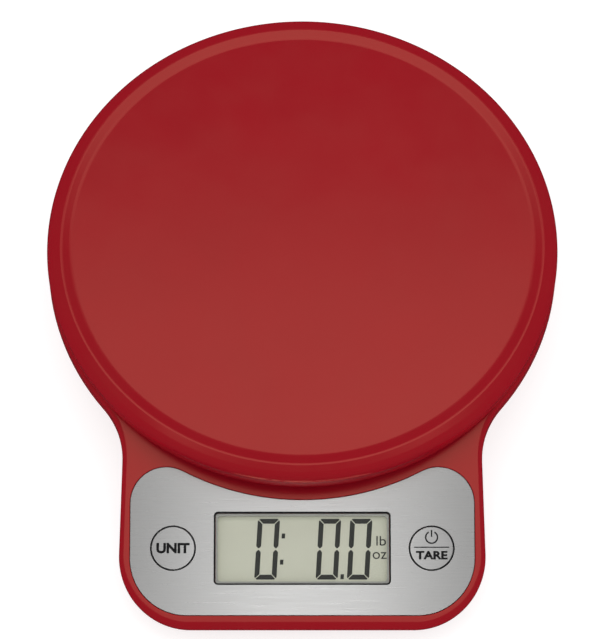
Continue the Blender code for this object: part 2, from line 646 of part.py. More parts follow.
def make_keys(materials, display_frame):
    for name, side in (("unit", -1), ("tare", 1)):
        centre = (side * KEY_X, 0.0, 0.0)
        cap = bmesh.new()
        add_turned(cap, ((0.0, PANEL_TOP), (KEY_RADIUS - 0.2 * MM, PANEL_TOP),
                         (KEY_RADIUS, PANEL_TOP - 0.2 * MM), (KEY_RADIUS, -2.5 * MM),
                         (KEY_FLANGE_RADIUS, -2.5 * MM), (KEY_FLANGE_RADIUS, -3.4 * MM),
                         (0.0, -3.4 * MM)), 32, centre)
        make_piece(f"{name}_key", cap, materials["key"], display_frame, centre)

        stem = bmesh.new()
        add_cylinder(stem, 1.5 * MM, -5.2 * MM, -3.7 * MM, centre, 16)
        make_piece(f"{name}_switch_stem", stem, materials["black"], display_frame, centre)
        body = bmesh.new()
        half = 3.0 * MM
        add_box(body, (centre[0] - half, -half, PCB_TOP + CLEARANCE), (centre[0] + half, half, -4.6 * MM))
        switch = make_piece(f"{name}_switch", body, materials["metal"], display_frame)
        well = bmesh.new()
        add_cylinder(well, 1.5 * MM + CLEARANCE, -5.75 * MM, 0.0, centre, 16)
        combine(switch, well, "DIFFERENCE", display_frame, "well")


# ---------------------------------------------------------------- screws

def make_screw_mesh(name, head_radius, head_height, shank_length, material):
    """A headed screw pointing down, its head resting at z = 0, with a cross recess."""
    bm = bmesh.new()
    add_turned(bm, ((0.0, head_height), (head_radius * 0.7, head_height), (head_radius, head_height * 0.55),
                    (head_radius, 0.0), (SHANK_RADIUS, 0.0), (SHANK_RADIUS, -shank_length + 0.5 * MM),
                    (SHANK_RADIUS * 0.5, -shank_length), (0.0, -shank_length)), SCREW_SEGMENTS)
    screw = make_piece(name, bm, material)
    recess = bmesh.new()
    arm_length = head_radius * 0.6
    arm_width = head_radius * 0.16
    corners = []
    for quarter in range(4):
        turn = Matrix.Rotation(quarter * math.pi / 2, 2)
        corners += [turn @ Vector(point) for point in
                    ((arm_length, -arm_width), (arm_length, arm_width), (arm_width, arm_width))]
    add_prism(recess, [tuple(point) for point in corners], head_height * 0.45, head_height * 2)
    combine(screw, recess, "DIFFERENCE", None, "recess")
    bpy.context.view_layer.update()
    mesh = bpy.data.meshes.new_from_object(screw.evaluated_get(bpy.context.evaluated_depsgraph_get()))
    mesh.name = f"{name}_mesh"
    bpy.data.objects.remove(bpy.data.objects[f"{name}_recess"])
    bpy.data.objects.remove(screw)
    return mesh


def place_screws(name, mesh, places, height, parent, from_below):
    """Put a screw at each (x, y), the underside of its head at the given height."""
    for number, (x, y) in enumerate(places, start=1):
        screw = bpy.data.objects.new(f"{name}_{number}", mesh)
        bpy.context.collection.objects.link(screw)
        screw.location = (x, y, height)
        screw.rotation_euler = (math.pi if from_below else 0.0, 0.0, 0.0)
        screw.parent = parent


def make_screws(material, frame, display_frame):
    long_screw = make_screw_mesh("long_screw", 2.7 * MM, 1.7 * MM, 13.2 * MM, material)
    flat_screw = make_screw_mesh("flat_screw", 2.7 * MM, 0.9 * MM, 8.0 * MM, material)
    short_screw = make_screw_mesh("short_screw", 2.7 * MM, 0.9 * MM, 3.9 * MM, material)
    pan_screw = make_screw_mesh("pan_screw", 2.5 * MM, 1.4 * MM, 6.0 * MM, material)
    board_screw = make_screw_mesh("board_screw", 2.4 * MM, 1.4 * MM, 4.3 * MM, material)

    bar_ends = [(x, 0.0) for x in BAR_END_SCREWS]
    place_screws("case_screw", long_screw, both_sides(CASE_SCREW_PLACES), 4.1 * MM, frame, True)
    place_screws("load_cell_screw", flat_screw, [(-x, y) for x, y in bar_ends], 2.9 * MM, frame, True)
    place_screws("hub_screw", pan_screw, bar_ends, BAR_TOP + 4.1 * MM, frame, False)
    place_screws("bracket_screw", pan_screw, [(BRACKET_SCREW_X, 0.0), (-BRACKET_SCREW_X, 0.0)],
                 BRACKET_TOP + CLEARANCE, frame, False)
    place_screws("platter_screw", short_screw, PLATTER_SCREW_PLACES, BRACKET_BOTTOM + 1.0 * MM, frame, True)
    place_screws("board_screw", board_screw, both_sides(PCB_SCREW_PLACES), PCB_BOTTOM - CLEARANCE,
                 display_frame, True)


# ---------------------------------------------------------------- battery compartment and leads

def make_battery_door(material, frame):
    """A flap with a rolled hinge edge, two stub pins and a snap arm; its origin is on the hinge's axis."""
    hinge = (0.0, HINGE_Y, HINGE_Z)
    half_length = BAY_HALF_LENGTH - CLEARANCE
    roll = DOOR_THICKNESS / 2
    bm = bmesh.new()
    section = arc((HINGE_Y, HINGE_Z), roll, math.radians(90), math.radians(270), math.radians(30))
    section += [(HINGE_Y + DOOR_DEPTH, HINGE_Z - roll), (HINGE_Y + DOOR_DEPTH, HINGE_Z + roll)]
    ends = [[(x, y, z) for y, z in section] for x in (-half_length, half_length)]
    rings = [[bm.verts.new(point) for point in ring] for ring in ends]
    bm.faces.new(rings[0])
    bm.faces.new(rings[1])
    for k in range(len(section)):
        following = (k + 1) % len(section)
        bm.faces.new((rings[0][k], rings[0][following], rings[1][following], rings[1][k]))
    door = make_piece("battery_door", bm, material, frame, hinge)
    pins = bmesh.new()
    pin_reach = BAY_HALF_LENGTH + 1.5 * MM
    add_bar_along_x(pins, HINGE_PIN_RADIUS, -pin_reach, pin_reach, HINGE_Y, HINGE_Z, 12)
    combine(door, pins, "UNION", frame, "pins")
    snap_arm = bmesh.new()
    add_box(snap_arm, (-6 * MM, HINGE_Y + DOOR_DEPTH - 1.5 * MM, HINGE_Z),
            (6 * MM, HINGE_Y + DOOR_DEPTH - 0.3 * MM, HINGE_Z + 4.5 * MM))
    combine(door, snap_arm, "UNION", frame, "snap_arm")
    grip = bmesh.new()
    for k in range(3):
        groove = HINGE_Y + DOOR_DEPTH - (4.0 + 2.2 * k) * MM
        add_box(grip, (-8 * MM, groove - 0.5 * MM, 0.0), (8 * MM, groove + 0.5 * MM, HINGE_Z - 0.35 * MM))
    combine(door, grip, "DIFFERENCE", frame, "grip")


def make_cells(materials, frame):
    """Two cells lying along X, facing opposite ways; the positive button is at the raised end."""
    half = CELL_LENGTH / 2
    button_length = 1.0 * MM
    profile = ((0.0, -half), (CELL_RADIUS - 0.4 * MM, -half), (CELL_RADIUS, -half + 0.5 * MM),
               (CELL_RADIUS, half - button_length - 0.5 * MM), (CELL_RADIUS - 0.5 * MM, half - button_length),
               (1.9 * MM, half - button_length), (1.9 * MM, half), (0.0, half))
    for number, (y, side) in enumerate(zip(CELL_Y, (1, -1)), start=1):
        bm = bmesh.new()
        add_turned(bm, profile, 20)
        cell = make_piece(f"aaa_cell_{number}", bm, materials["cell"], frame)
        cell.location = (0.0, y, CELL_Z)
        cell.rotation_euler = (0.0, side * math.pi / 2, 0.0)


def make_tube(name, points, radius, material, frame, bevel_resolution=2):
    """A round wire through the points, as one curve with filled caps."""
    curve = bpy.data.curves.new(name, "CURVE")
    curve.dimensions = "3D"
    curve.bevel_depth = radius
    curve.bevel_resolution = bevel_resolution
    curve.use_fill_caps = True
    spline = curve.splines.new("POLY")
    spline.points.add(len(points) - 1)
    for point, place in zip(spline.points, points):
        point.co = (*place, 1.0)
    curve.materials.append(material)
    tube = bpy.data.objects.new(name, curve)
    bpy.context.collection.objects.link(tube)
    tube.parent = frame


def make_contacts(materials, frame):
    """Sheet contacts at both ends of the bay; each cell's flat end presses on a coil spring."""
    plate_out = BAY_HALF_LENGTH - CLEARANCE
    plate_in = plate_out - 0.4 * MM
    for name, side, low_y, high_y in (
        ("contact_bridge", 1, CELL_Y[0] - 4.5 * MM, CELL_Y[1] + 4.5 * MM),
        ("contact_negative", -1, CELL_Y[0] - 4.5 * MM, CELL_Y[0] + 4.5 * MM),
        ("contact_positive", -1, CELL_Y[1] - 4.5 * MM, CELL_Y[1] + 4.5 * MM),
    ):
        bm = bmesh.new()
        low_x, high_x = sorted((side * plate_in, side * plate_out))
        add_box(bm, (low_x, low_y, 5.4 * MM), (high_x, high_y, 13.6 * MM))
        make_piece(name, bm, materials["spring_steel"], frame)

    turns = 2.5
    steps_per_turn = 8
    wire = 0.3 * MM
    steps = round(turns * steps_per_turn)
    coil_start = plate_in - CLEARANCE - wire
    coil_end = CELL_LENGTH / 2 + CLEARANCE + wire
    for name, y, side in (("battery_spring_1", CELL_Y[0], -1), ("battery_spring_2", CELL_Y[1], 1)):
        points = []
        for k in range(steps + 1):
            part = k / steps
            angle = math.tau * turns * part
            radius = (3.4 - 1.2 * part) * MM
            x = side * (coil_start + (coil_end - coil_start) * part)
            points.append((x, y + radius * math.cos(angle), CELL_Z + radius * math.sin(angle)))
        make_tube(name, points, wire, materials["spring_steel"], frame, bevel_resolution=1)


def smooth_route(points, spacing):
    """Evenly spaced points on a Catmull-Rom curve through hand-placed ones."""
    ends = [2 * Vector(points[0]) - Vector(points[1])]
    ends_after = [2 * Vector(points[-1]) - Vector(points[-2])]
    guide = ends + [Vector(point) for point in points] + ends_after
    route = [guide[1]]
    for before, start, end, after in zip(guide, guide[1:], guide[2:], guide[3:]):
        count = max(2, round((end - start).length / spacing))
        for k in range(1, count + 1):
            t = k / count
            route.append(0.5 * (
                2 * start + (end - before) * t + (2 * before - 5 * start + 4 * end - after) * t ** 2
                + (3 * start - before - 3 * end + after) * t ** 3
            ))
    return route


def make_leads(materials, frame):
    for name, route in LEAD_ROUTES.items():
        points = smooth_route([Vector(point) * MM for point in route], LEAD_SPACING)
        make_tube(name, points, LEAD_RADIUS, materials[name], frame)


# ---------------------------------------------------------------- assembly

def main():
    clear_scene()
    red = make_material("red_plastic", (0.36, 0.02, 0.024), 0.3)
    dark_red = make_material("red_plastic_underside", (0.25, 0.015, 0.018), 0.45)
    silver = make_material("brushed_panel", (0.52, 0.52, 0.51), 0.35, 1.0)
    aluminium = make_material("aluminium", (0.6, 0.6, 0.62), 0.35, 1.0)
    steel = make_material("screw_steel", (0.45, 0.45, 0.46), 0.3, 1.0)
    rubber = make_material("foot_rubber", (0.03, 0.03, 0.03), 0.8)
    moulding = make_material("inner_moulding", (0.65, 0.65, 0.62), 0.5)
    materials = {
        "window": make_material("clear_window", (0.75, 0.78, 0.75), 0.05),
        "display": make_material("display_glass", (0.45, 0.5, 0.42), 0.1),
        "white": make_material("white_moulding", (0.7, 0.7, 0.7), 0.5),
        "rubber": make_material("contact_rubber", (0.5, 0.3, 0.35), 0.7),
        "board": make_material("circuit_board_green", (0.02, 0.12, 0.05), 0.4),
        "black": make_material("black_resin", (0.01, 0.01, 0.01), 0.4),
        "key": make_material("key_silver", (0.52, 0.52, 0.51), 0.4, 0.6),
        "metal": make_material("switch_shell", (0.5, 0.5, 0.5), 0.3, 1.0),
        "cell": make_material("cell_jacket", (0.05, 0.16, 0.1), 0.3, 0.3),
        "spring_steel": make_material("spring_steel", (0.6, 0.58, 0.52), 0.25, 1.0),
        "battery_lead_red": make_material("lead_red", (0.5, 0.02, 0.02), 0.4),
        "battery_lead_black": make_material("lead_black", (0.01, 0.01, 0.01), 0.4),
        "load_cell_lead": make_material("lead_white", (0.7, 0.7, 0.68), 0.4),
    }
    scale_frame = make_frame("scale_frame", (0.0, PLATTER_AXIS_Y, 0.0))
    display_frame = make_frame(
        "display_frame", (0.0, KEY_LINE_Y, deck_height(KEY_LINE_Y)), DECK_TILT, scale_frame)

    make_upper_case(red, scale_frame, display_frame)
    make_lower_case(dark_red, scale_frame)
    make_feet(rubber, scale_frame)
    make_platter(red, scale_frame)
    make_bracket(moulding, scale_frame)
    make_hub(moulding, scale_frame)
    make_load_cell(aluminium, moulding, scale_frame)
    make_face_panel(silver, display_frame)
    make_display(materials, display_frame)
    make_keys(materials, display_frame)
    make_screws(steel, scale_frame, display_frame)
    make_battery_door(dark_red, scale_frame)
    make_cells(materials, scale_frame)
    make_contacts(materials, scale_frame)
    make_leads(materials, scale_frame)
    bpy.context.view_layer.update()


main()
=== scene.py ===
"""Looks for a compact round-platform portion scale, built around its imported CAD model.

Metres, +Z up, the display towards -Y.  Each visible moulding is rebuilt here at a fine step, inside the
space of the CAD solid it stands for.  The small inner parts keep their CAD meshes and get detailed materials.
Heights are above the table.  Plan sizes are from the platter's axis.  Sizes on the tilted lobe are from the
key line, with its own +Z square to the panel.
"""

import math

import bmesh
import bpy
from mathutils import Matrix, Vector


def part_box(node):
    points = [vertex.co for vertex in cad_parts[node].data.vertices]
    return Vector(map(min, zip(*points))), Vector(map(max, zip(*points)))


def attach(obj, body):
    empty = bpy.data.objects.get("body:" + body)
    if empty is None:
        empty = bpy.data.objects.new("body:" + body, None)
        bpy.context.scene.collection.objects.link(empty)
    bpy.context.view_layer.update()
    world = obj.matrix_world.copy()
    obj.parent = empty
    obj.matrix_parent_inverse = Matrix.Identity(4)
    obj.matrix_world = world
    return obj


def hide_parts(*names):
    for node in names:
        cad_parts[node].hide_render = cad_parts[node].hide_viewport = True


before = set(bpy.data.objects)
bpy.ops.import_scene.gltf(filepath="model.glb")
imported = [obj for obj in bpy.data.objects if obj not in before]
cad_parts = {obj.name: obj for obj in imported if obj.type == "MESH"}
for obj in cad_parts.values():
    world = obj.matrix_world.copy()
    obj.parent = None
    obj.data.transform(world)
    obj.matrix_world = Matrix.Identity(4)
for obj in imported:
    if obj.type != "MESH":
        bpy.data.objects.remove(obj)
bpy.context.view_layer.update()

MM = 0.001

# ---------------------------------------------------------------- sizes of the object

PLATTER_LOW, PLATTER_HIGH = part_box("platter")
AXIS_Y = (PLATTER_LOW.y + PLATTER_HIGH.y) / 2
PLATTER_RADIUS = (PLATTER_HIGH.x - PLATTER_LOW.x) / 2
PLATTER_TOP = PLATTER_HIGH.z
SKIRT_BOTTOM = PLATTER_LOW.z
FRONT_REACH = AXIS_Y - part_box("upper_case")[0].y
DECK_TILT = math.radians(12)

DISC_TOP = 35.2 * MM
DISC_RADIUS = 75.5 * MM
DISC_ROUNDING = 0.7 * MM  # reach of the soft corner between the disc and the rim's rise
CREST_RADIUS = 78.9 * MM  # outer edge of the rim's flat crest
CREST_WIDTH = 0.7 * MM
CREST_ROUNDING = (0.3 * MM, 0.15 * MM)  # inner and outer corner
PLATTER_WALL = 2.2 * MM
SHOULDER_RADIUS = 3.4 * MM
SHOULDER_FALL = math.radians(18)  # slope between the crest and the shoulder's arc
SKIRT_DRAFT = math.radians(6)
SKIRT_WALL = 1.3 * MM
SKIRT_EDGE = 0.3 * MM
PLATTER_SEGMENTS = 288
PLATTER_BOSS_DISTANCE = 42.0 * MM
PLATTER_BOSS_RADIUS = 4.0 * MM

CASE_RADIUS = 83.3 * MM
NECK_FILLET = 29.0 * MM
LOBE_HALF_WIDTH = 58.6 * MM
LOBE_CORNER = 23.0 * MM
LOBE_FLARE = math.radians(1.5)  # the lobe's sides open towards the front
DECK_HEIGHT = 26.0 * MM
DECK_CREASE_Y = -58.0 * MM  # in front of this line the deck is tilted
DECK_EDGE_RADIUS = 1.8 * MM
WALL = 2.0 * MM
FLOOR_BOTTOM = 2.0 * MM
FLOOR_TOP = 4.2 * MM
FLOOR_EDGE = 1.0 * MM  # rounding around the floor
BELT_HEIGHT = 19.3 * MM  # the side wall is upright above the belt and tapers below it
BELT_DROP = 3.2 * MM  # least drop from the deck to the belt
BELT_BLEND = 1.6 * MM
BELT_STEPS = 4
SIDE_TAPER = math.radians(32)
PARTING_HEIGHT = 8.0 * MM
PARTING_GAP = 0.3 * MM

KEY_LINE_Y = -99.8 * MM
RECESS_DEPTH = 0.95 * MM
PANEL_TOP = -0.05 * MM
PANEL_BOTTOM = -0.65 * MM
PANEL_ARC_RADIUS = 84.4 * MM
PANEL_HALF_WIDTH = 55.2 * MM
PANEL_FRONT_Y = -121.1 * MM
PANEL_UPPER_CORNER = 11.6 * MM
PANEL_LOWER_CORNER = 18.3 * MM
PANEL_ARC_STEPS = 24  # fixed, so that an outline has as many points at every inset
PANEL_GAP = 0.12 * MM
PANEL_EDGE = 0.12 * MM
RECESS_RIM = 0.15 * MM
WINDOW_SIZE = (56.6 * MM, 23.7 * MM)
WINDOW_CORNER = 1.4 * MM
WINDOW_EDGE = 0.1 * MM
BORDER_INSETS = (0.02 * MM, 0.48 * MM)  # the printed border's outer and inner edge, from the window's size
VIEW_OPENING = (54.6 * MM, 21.7 * MM)
KEY_X = 41.3 * MM
KEY_RADIUS = 7.0 * MM
KEY_GAP = 0.35 * MM
KEY_EDGE = 0.25 * MM
KEY_FLANGE_RADIUS = 8.4 * MM
KEY_FLANGE_TOP = -2.5 * MM
KEY_FLANGE_BOTTOM = -3.4 * MM
KEY_SEGMENTS = 96
HUB_HOLE_RADIUS = 16.0 * MM

GLASS_SIZE = (56.8 * MM, 23.9 * MM)
GLASS_TOP = -2.6 * MM
GLASS_BOTTOM = -4.4 * MM
GLASS_CORNER = 0.6 * MM
GLASS_EDGE = 0.15 * MM

BAY_HALF_LENGTH = 26.0 * MM
BAY_ROOF = 15.6 * MM
BAY_END_WALL = 3.0 * MM
BAY_SIDE_WALL = 1.4 * MM
HINGE_Y = 25.0 * MM
HINGE_Z = 3.3 * MM
DOOR_DEPTH = 27.0 * MM
DOOR_THICKNESS = 1.6 * MM
HINGE_PIN_RADIUS = 0.7 * MM
FOOT_RADIUS = 6.0 * MM
FOOT_HEIGHT = 3.0 * MM
FOOT_EDGE = 0.9 * MM
FOOT_PLACES = ((54.0 * MM, 25.0 * MM), (40.0 * MM, -106.0 * MM))
CASE_SCREW_PLACES = ((41.0 * MM, 49.0 * MM), (64.0 * MM, 0.0), (40.0 * MM, -68.0 * MM))
BAR_SCREW_PLACES = ((-18.0 * MM, 0.0), (-26.0 * MM, 0.0))
POST_RADIUS = 3.5 * MM
POST_BOTTOM = PARTING_HEIGHT + 1.2 * MM
POST_HOLE_TOP = 18.2 * MM
BOSS_RADIUS = 4.5 * MM
BOSS_TOP = PARTING_HEIGHT + 0.9 * MM
SHANK_RADIUS = 1.3 * MM
SCREW_HOLE = 1.7 * MM
HEAD_RADIUS = 2.7 * MM
HEAD_POCKET_RADIUS = 3.2 * MM
CLEARANCE = 0.3 * MM
CUT_REACH = 5.0 * MM  # how far a cutting form runs past a face
PANEL_CUT_REACH = 2.0 * MM  # the same for the thin face panel

# ---------------------------------------------------------------- sizes of the display's print

DIGIT_HEIGHT = 19.66 * MM
DIGIT_WIDTH = 7.1 * MM
STROKE = 1.58 * MM
SEGMENT_GAP = 0.26 * MM
MIDDLE_GAP = 0.6 * MM
CORNER_CUT = 0.75 * MM
SLANT = math.tan(math.radians(3.4))
DIGIT_CENTRES = (-11.25 * MM, 8.35 * MM, 18.35 * MM)
COLON_DOTS = ((-6.05 * MM, 4.27 * MM), (-6.6 * MM, -4.2 * MM))
DECIMAL_POINT = (12.74 * MM, -8.9 * MM)
DOT_SIZE = (1.1 * MM, 1.6 * MM)
UNIT_WORDS = (  # word, centre and size
    ("lb", (25.25 * MM, 2.7 * MM), (3.1 * MM, 3.1 * MM)),
    ("oz", (24.75 * MM, -2.06 * MM), (4.5 * MM, 2.27 * MM)),
)
SIGHT_SHIFT = 0.1 * MM  # the glass lies under the window, so its print is set back for a seated reader
PRINT_THICKNESS = 0.03 * MM
POWER_SIGN_Y = 3.5 * MM
POWER_SIGN_RADIUS = 1.9 * MM
POWER_SIGN_HALF_STROKE = 0.24 * MM
POWER_SIGN_HALF_GAP = math.radians(28)

# ---------------------------------------------------------------- camera and light

CAMERA_PLACE = (0.0, AXIS_Y - 0.56784, 1.20463)
CAMERA_TURN = math.radians(24.79)
CAMERA_LENS = 224.84
CAMERA_SHIFT = -0.0122
AMBIENT = 0.93  # what matt surfaces see all around
AMBIENT_IN_GLOSS = 0.02  # what shiny surfaces see beside the lights
LIGHT_HEIGHT = 1.2
SOFTBOX_SIZE = (1.0, 0.82)
SOFTBOX_PLACE = (0.0, 0.19)
SOFTBOX_POWER = 1.15
SOFTBOX_HEART_SIZE = (0.8, 0.6)
SOFTBOX_HEART_PLACE = (0.0, 0.17)
SOFTBOX_HEART_POWER = 1.35
PANEL_LIGHT_SIZE = (0.06, 0.4)
PANEL_LIGHT_PLACE = (0.0, -0.3)
PANEL_LIGHT_POWER = 0.72

ARC_STEP = math.radians(2.5)


# ---------------------------------------------------------------- geometry, added to a bmesh

def deck_height(y):
    return DECK_HEIGHT - math.tan(DECK_TILT) * max(0.0, DECK_CREASE_Y - y)


CASE_PLACE = Matrix.Translation((0.0, AXIS_Y, 0.0))
LOBE_PLACE = (Matrix.Translation((0.0, AXIS_Y + KEY_LINE_Y, deck_height(KEY_LINE_Y)))
              @ Matrix.Rotation(DECK_TILT, 4, "X"))


def add_loops(bm, rings, closed=True):
    """Skin closed rings of points in order, the last back to the first if asked; one point makes a pole."""
    loops = [[bm.verts.new(point) for point in ring] for ring in rings]
    followers = loops[1:] + (loops[:1] if closed else [])
    for loop, following in zip(loops, followers):
        if len(loop) == 1 and len(following) == 1:
            continue
        for k in range(max(len(loop), len(following))):
            corners = (
                loop[k % len(loop)],
                loop[(k + 1) % len(loop)],
                following[(k + 1) % len(following)],
                following[k % len(following)],
            )
            bm.faces.new(list(dict.fromkeys(corners)))
    return loops


def add_turned(bm, profile, segments, centre=(0.0, 0.0)):
    """Turn a (radius, height) profile about an upright axis; it starts and ends on the axis, or is a loop."""
    rings = []
    for radius, height in profile:
        count = segments if radius > 0 else 1
        turn = math.tau / count
        rings.append([
            (centre[0] + radius * math.cos(k * turn), centre[1] + radius * math.sin(k * turn), height)
            for k in range(count)
        ])
    add_loops(bm, rings)


def add_cylinder(bm, radius, bottom, top, centre=(0.0, 0.0), segments=64):
    add_turned(bm, ((0.0, bottom), (radius, bottom), (radius, top), (0.0, top)), segments, centre)


def add_box(bm, low, high):
    middle = (Vector(low) + Vector(high)) / 2
    size = Vector(high) - Vector(low)
    bmesh.ops.create_cube(bm, size=1.0, matrix=Matrix.Translation(middle) @ Matrix.Diagonal((*size, 1.0)))


def add_layers(bm, outlines_and_heights):
    """A solid through outlines of equal length, each at its height, capped at both ends."""
    rings = [[(x, y, height) for x, y in outline] for outline, height in outlines_and_heights]
    loops = add_loops(bm, rings, closed=False)
    bm.faces.new(loops[0])
    bm.faces.new(loops[-1])


def add_rounded_plate(bm, outline_rule, bottom, top, edge):
    """A plate whose outline is outline_rule(inset), with its upper and lower edges rounded."""
    upper = []
    lower = []
    for step in (0, 30, 60, 90):
        turn = math.radians(step)
        outline = outline_rule(edge * (1 - math.cos(turn)))
        depth = edge * (1 - math.sin(turn))
        upper.append((outline, top - depth))
        lower.append((outline, bottom + depth))
    add_layers(bm, lower[::-1] + upper)


def add_bar_along_x(bm, radius, low_x, high_x, y, z, segments=24):
    turn = math.tau / segments
    ends = [
        [(x, y + radius * math.cos(k * turn), z + radius * math.sin(k * turn)) for k in range(segments)]
        for x in (low_x, high_x)
    ]
    add_loops(bm, [[(low_x, y, z)], ends[0], ends[1], [(high_x, y, z)]])


def add_polygon(bm, points, bottom, top):
    add_layers(bm, [(points, bottom), (points, top)])


def arc(centre, radius, start, end, step=ARC_STEP):
    """Points on an arc, both ends included; the angles are in radians."""
    count = max(2, math.ceil(abs(end - start) / step - 1e-6))
    return counted_arc(centre, radius, start, end, count)


def counted_arc(centre, radius, start, end, count):
    """An arc of a given number of steps."""
    return [
        (centre[0] + radius * math.cos(start + (end - start) * k / count),
         centre[1] + radius * math.sin(start + (end - start) * k / count))
        for k in range(count + 1)
    ]


def blend(start, corner, end, steps):
    """Points on a parabola that rounds off a corner, both ends included."""
    start, corner, end = Vector(start), Vector(corner), Vector(end)
    points = []
    for step in range(steps + 1):
        t = step / steps
        points.append(tuple(start * (1 - t) ** 2 + corner * 2 * t * (1 - t) + end * t ** 2))
    return points


def rounded_rectangle(width, depth, radius, inset=0.0, step=math.radians(10)):
    outline = []
    for quarter, (side_x, side_y) in enumerate(((1, 1), (-1, 1), (-1, -1), (1, -1))):
        centre = (side_x * (width / 2 - radius), side_y * (depth / 2 - radius))
        outline += arc(centre, radius - inset, quarter * math.pi / 2, (quarter + 1) * math.pi / 2, step)
    return outline


def both_sides(places):
    return [(side * x, y) for x, y in places for side in (1, -1)]


# ---------------------------------------------------------------- objects

def make_piece(name, bm, material, body=None, replaces=(), place=Matrix.Identity(4)):
    """Turn a bmesh into a named object that rides on a CAD body."""
    bmesh.ops.transform(bm, matrix=place, verts=bm.verts)
    bmesh.ops.recalc_face_normals(bm, faces=bm.faces)
    mesh = bpy.data.meshes.new(name)
    bm.to_mesh(mesh)
    bm.free()
    mesh.materials.append(material)
    piece = bpy.data.objects.new(name, mesh)
    bpy.context.collection.objects.link(piece)
    finish_shading(piece)
    if body is not None:
        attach(piece, body)
    if replaces:
        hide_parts(*replaces)
    return piece


def finish_shading(piece):
    piece.data.shade_smooth()
    piece.data.set_sharp_from_angle(angle=math.radians(35))


def weigh_normals(piece):
    """Keep large flat faces flat beside rounded edges."""
    modifier = piece.modifiers.new("flat_faces", "WEIGHTED_NORMAL")
    modifier.keep_sharp = True
    modifier.weight = 100


def apply_boolean(piece, bm, operation, place=Matrix.Identity(4)):
    """Join or cut a piece with a closed form, at once."""
    bmesh.ops.transform(bm, matrix=place, verts=bm.verts)
    bmesh.ops.recalc_face_normals(bm, faces=bm.faces)
    mesh = bpy.data.meshes.new("tool")
    bm.to_mesh(mesh)
    bm.free()
    tool = bpy.data.objects.new("tool", mesh)
    bpy.context.collection.objects.link(tool)
    modifier = piece.modifiers.new("join", "BOOLEAN")
    modifier.operation = operation
    modifier.solver = "EXACT"
    modifier.object = tool
    bpy.context.view_layer.update()
    graph = bpy.context.evaluated_depsgraph_get()
    result = bpy.data.meshes.new_from_object(piece.evaluated_get(graph))
    piece.modifiers.remove(modifier)
    old = piece.data
    piece.data = result
    result.name = piece.name
    bpy.data.meshes.remove(old)
    bpy.data.objects.remove(tool)
    bpy.data.meshes.remove(mesh)
    finish_shading(piece)


# ---------------------------------------------------------------- materials

class Recipe:
    """A node material with a Principled shader and a few shortcuts for its procedural inputs."""

    def __init__(self, name, roughness, metallic=0.0, **sockets):
        self.material = bpy.data.materials.new(f"{name}_look")
        self.material.use_nodes = True
        self.nodes = self.material.node_tree.nodes
        self.links = self.material.node_tree.links
        self.shader = self.nodes["Principled BSDF"]
        self.shader.inputs["Roughness"].default_value = roughness
        self.shader.inputs["Metallic"].default_value = metallic
        for socket, value in sockets.items():
            self.shader.inputs[socket.replace("_", " ")].default_value = value
        coordinates = self.nodes.new("ShaderNodeTexCoord")
        self.place = coordinates.outputs["Object"]

    def stretched(self, scale):
        """Object coordinates scaled by axis, for brushed or drawn surfaces."""
        mapping = self.nodes.new("ShaderNodeMapping")
        mapping.inputs["Scale"].default_value = scale
        self.links.new(self.place, mapping.inputs["Vector"])
        return mapping.outputs["Vector"]

    def noise(self, scale, detail=3.0, rough=0.5, place=None):
        node = self.nodes.new("ShaderNodeTexNoise")
        node.inputs["Scale"].default_value = scale
        node.inputs["Detail"].default_value = detail
        node.inputs["Roughness"].default_value = rough
        self.links.new(place or self.place, node.inputs["Vector"])
        return node.outputs["Fac"]

    def spread(self, value, low, high, start=0.3, end=0.7):
        """Map the middle of a noise to a range."""
        node = self.nodes.new("ShaderNodeMapRange")
        node.inputs["From Min"].default_value = start
        node.inputs["From Max"].default_value = end
        node.inputs["To Min"].default_value = low
        node.inputs["To Max"].default_value = high
        self.links.new(value, node.inputs["Value"])
        return node.outputs["Result"]

    def colours(self, value, *stops):
        """A colour ramp; each stop is (place, (red, green, blue))."""
        ramp = self.nodes.new("ShaderNodeValToRGB")
        elements = ramp.color_ramp.elements
        while len(elements) < len(stops):
            elements.new(0.5)
        for element, (place, colour) in zip(elements, stops):
            element.position = place
            element.color = (*colour, 1.0)
        self.links.new(value, ramp.inputs["Fac"])
        return ramp.outputs["Color"]

    def feed(self, socket, output):
        self.links.new(output, self.shader.inputs[socket])

    def bump(self, value, depth, strength=1.0):
        node = self.nodes.new("ShaderNodeBump")
        node.inputs["Distance"].default_value = depth
        node.inputs["Strength"].default_value = strength
        self.links.new(value, node.inputs["Height"])
        previous = self.shader.inputs["Normal"].links
        if previous:
            self.links.new(previous[0].from_socket, node.inputs["Normal"])
        self.links.new(node.outputs["Normal"], self.shader.inputs["Normal"])


def shaded(colour, factor):
    return tuple(channel * factor for channel in colour)


def moulded_plastic(name, colour, roughness, grain_size, grain_depth, variation=0.05, **sockets):
    """Moulded plastic: broad flow marks in the colour, patchy sheen and a fine spark-eroded grain."""
    recipe = Recipe(name, roughness, **sockets)
    marks = recipe.noise(14.0, detail=4.0, rough=0.6)
    recipe.feed("Base Color", recipe.colours(
        marks, (0.25, shaded(colour, 1 - variation)), (0.75, shaded(colour, 1 + variation))))
    recipe.feed("Roughness", recipe.spread(recipe.noise(70.0, detail=5.0), roughness * 0.9, roughness * 1.1))
    recipe.bump(recipe.noise(1 / grain_size, detail=2.0), grain_depth)
    return recipe.material


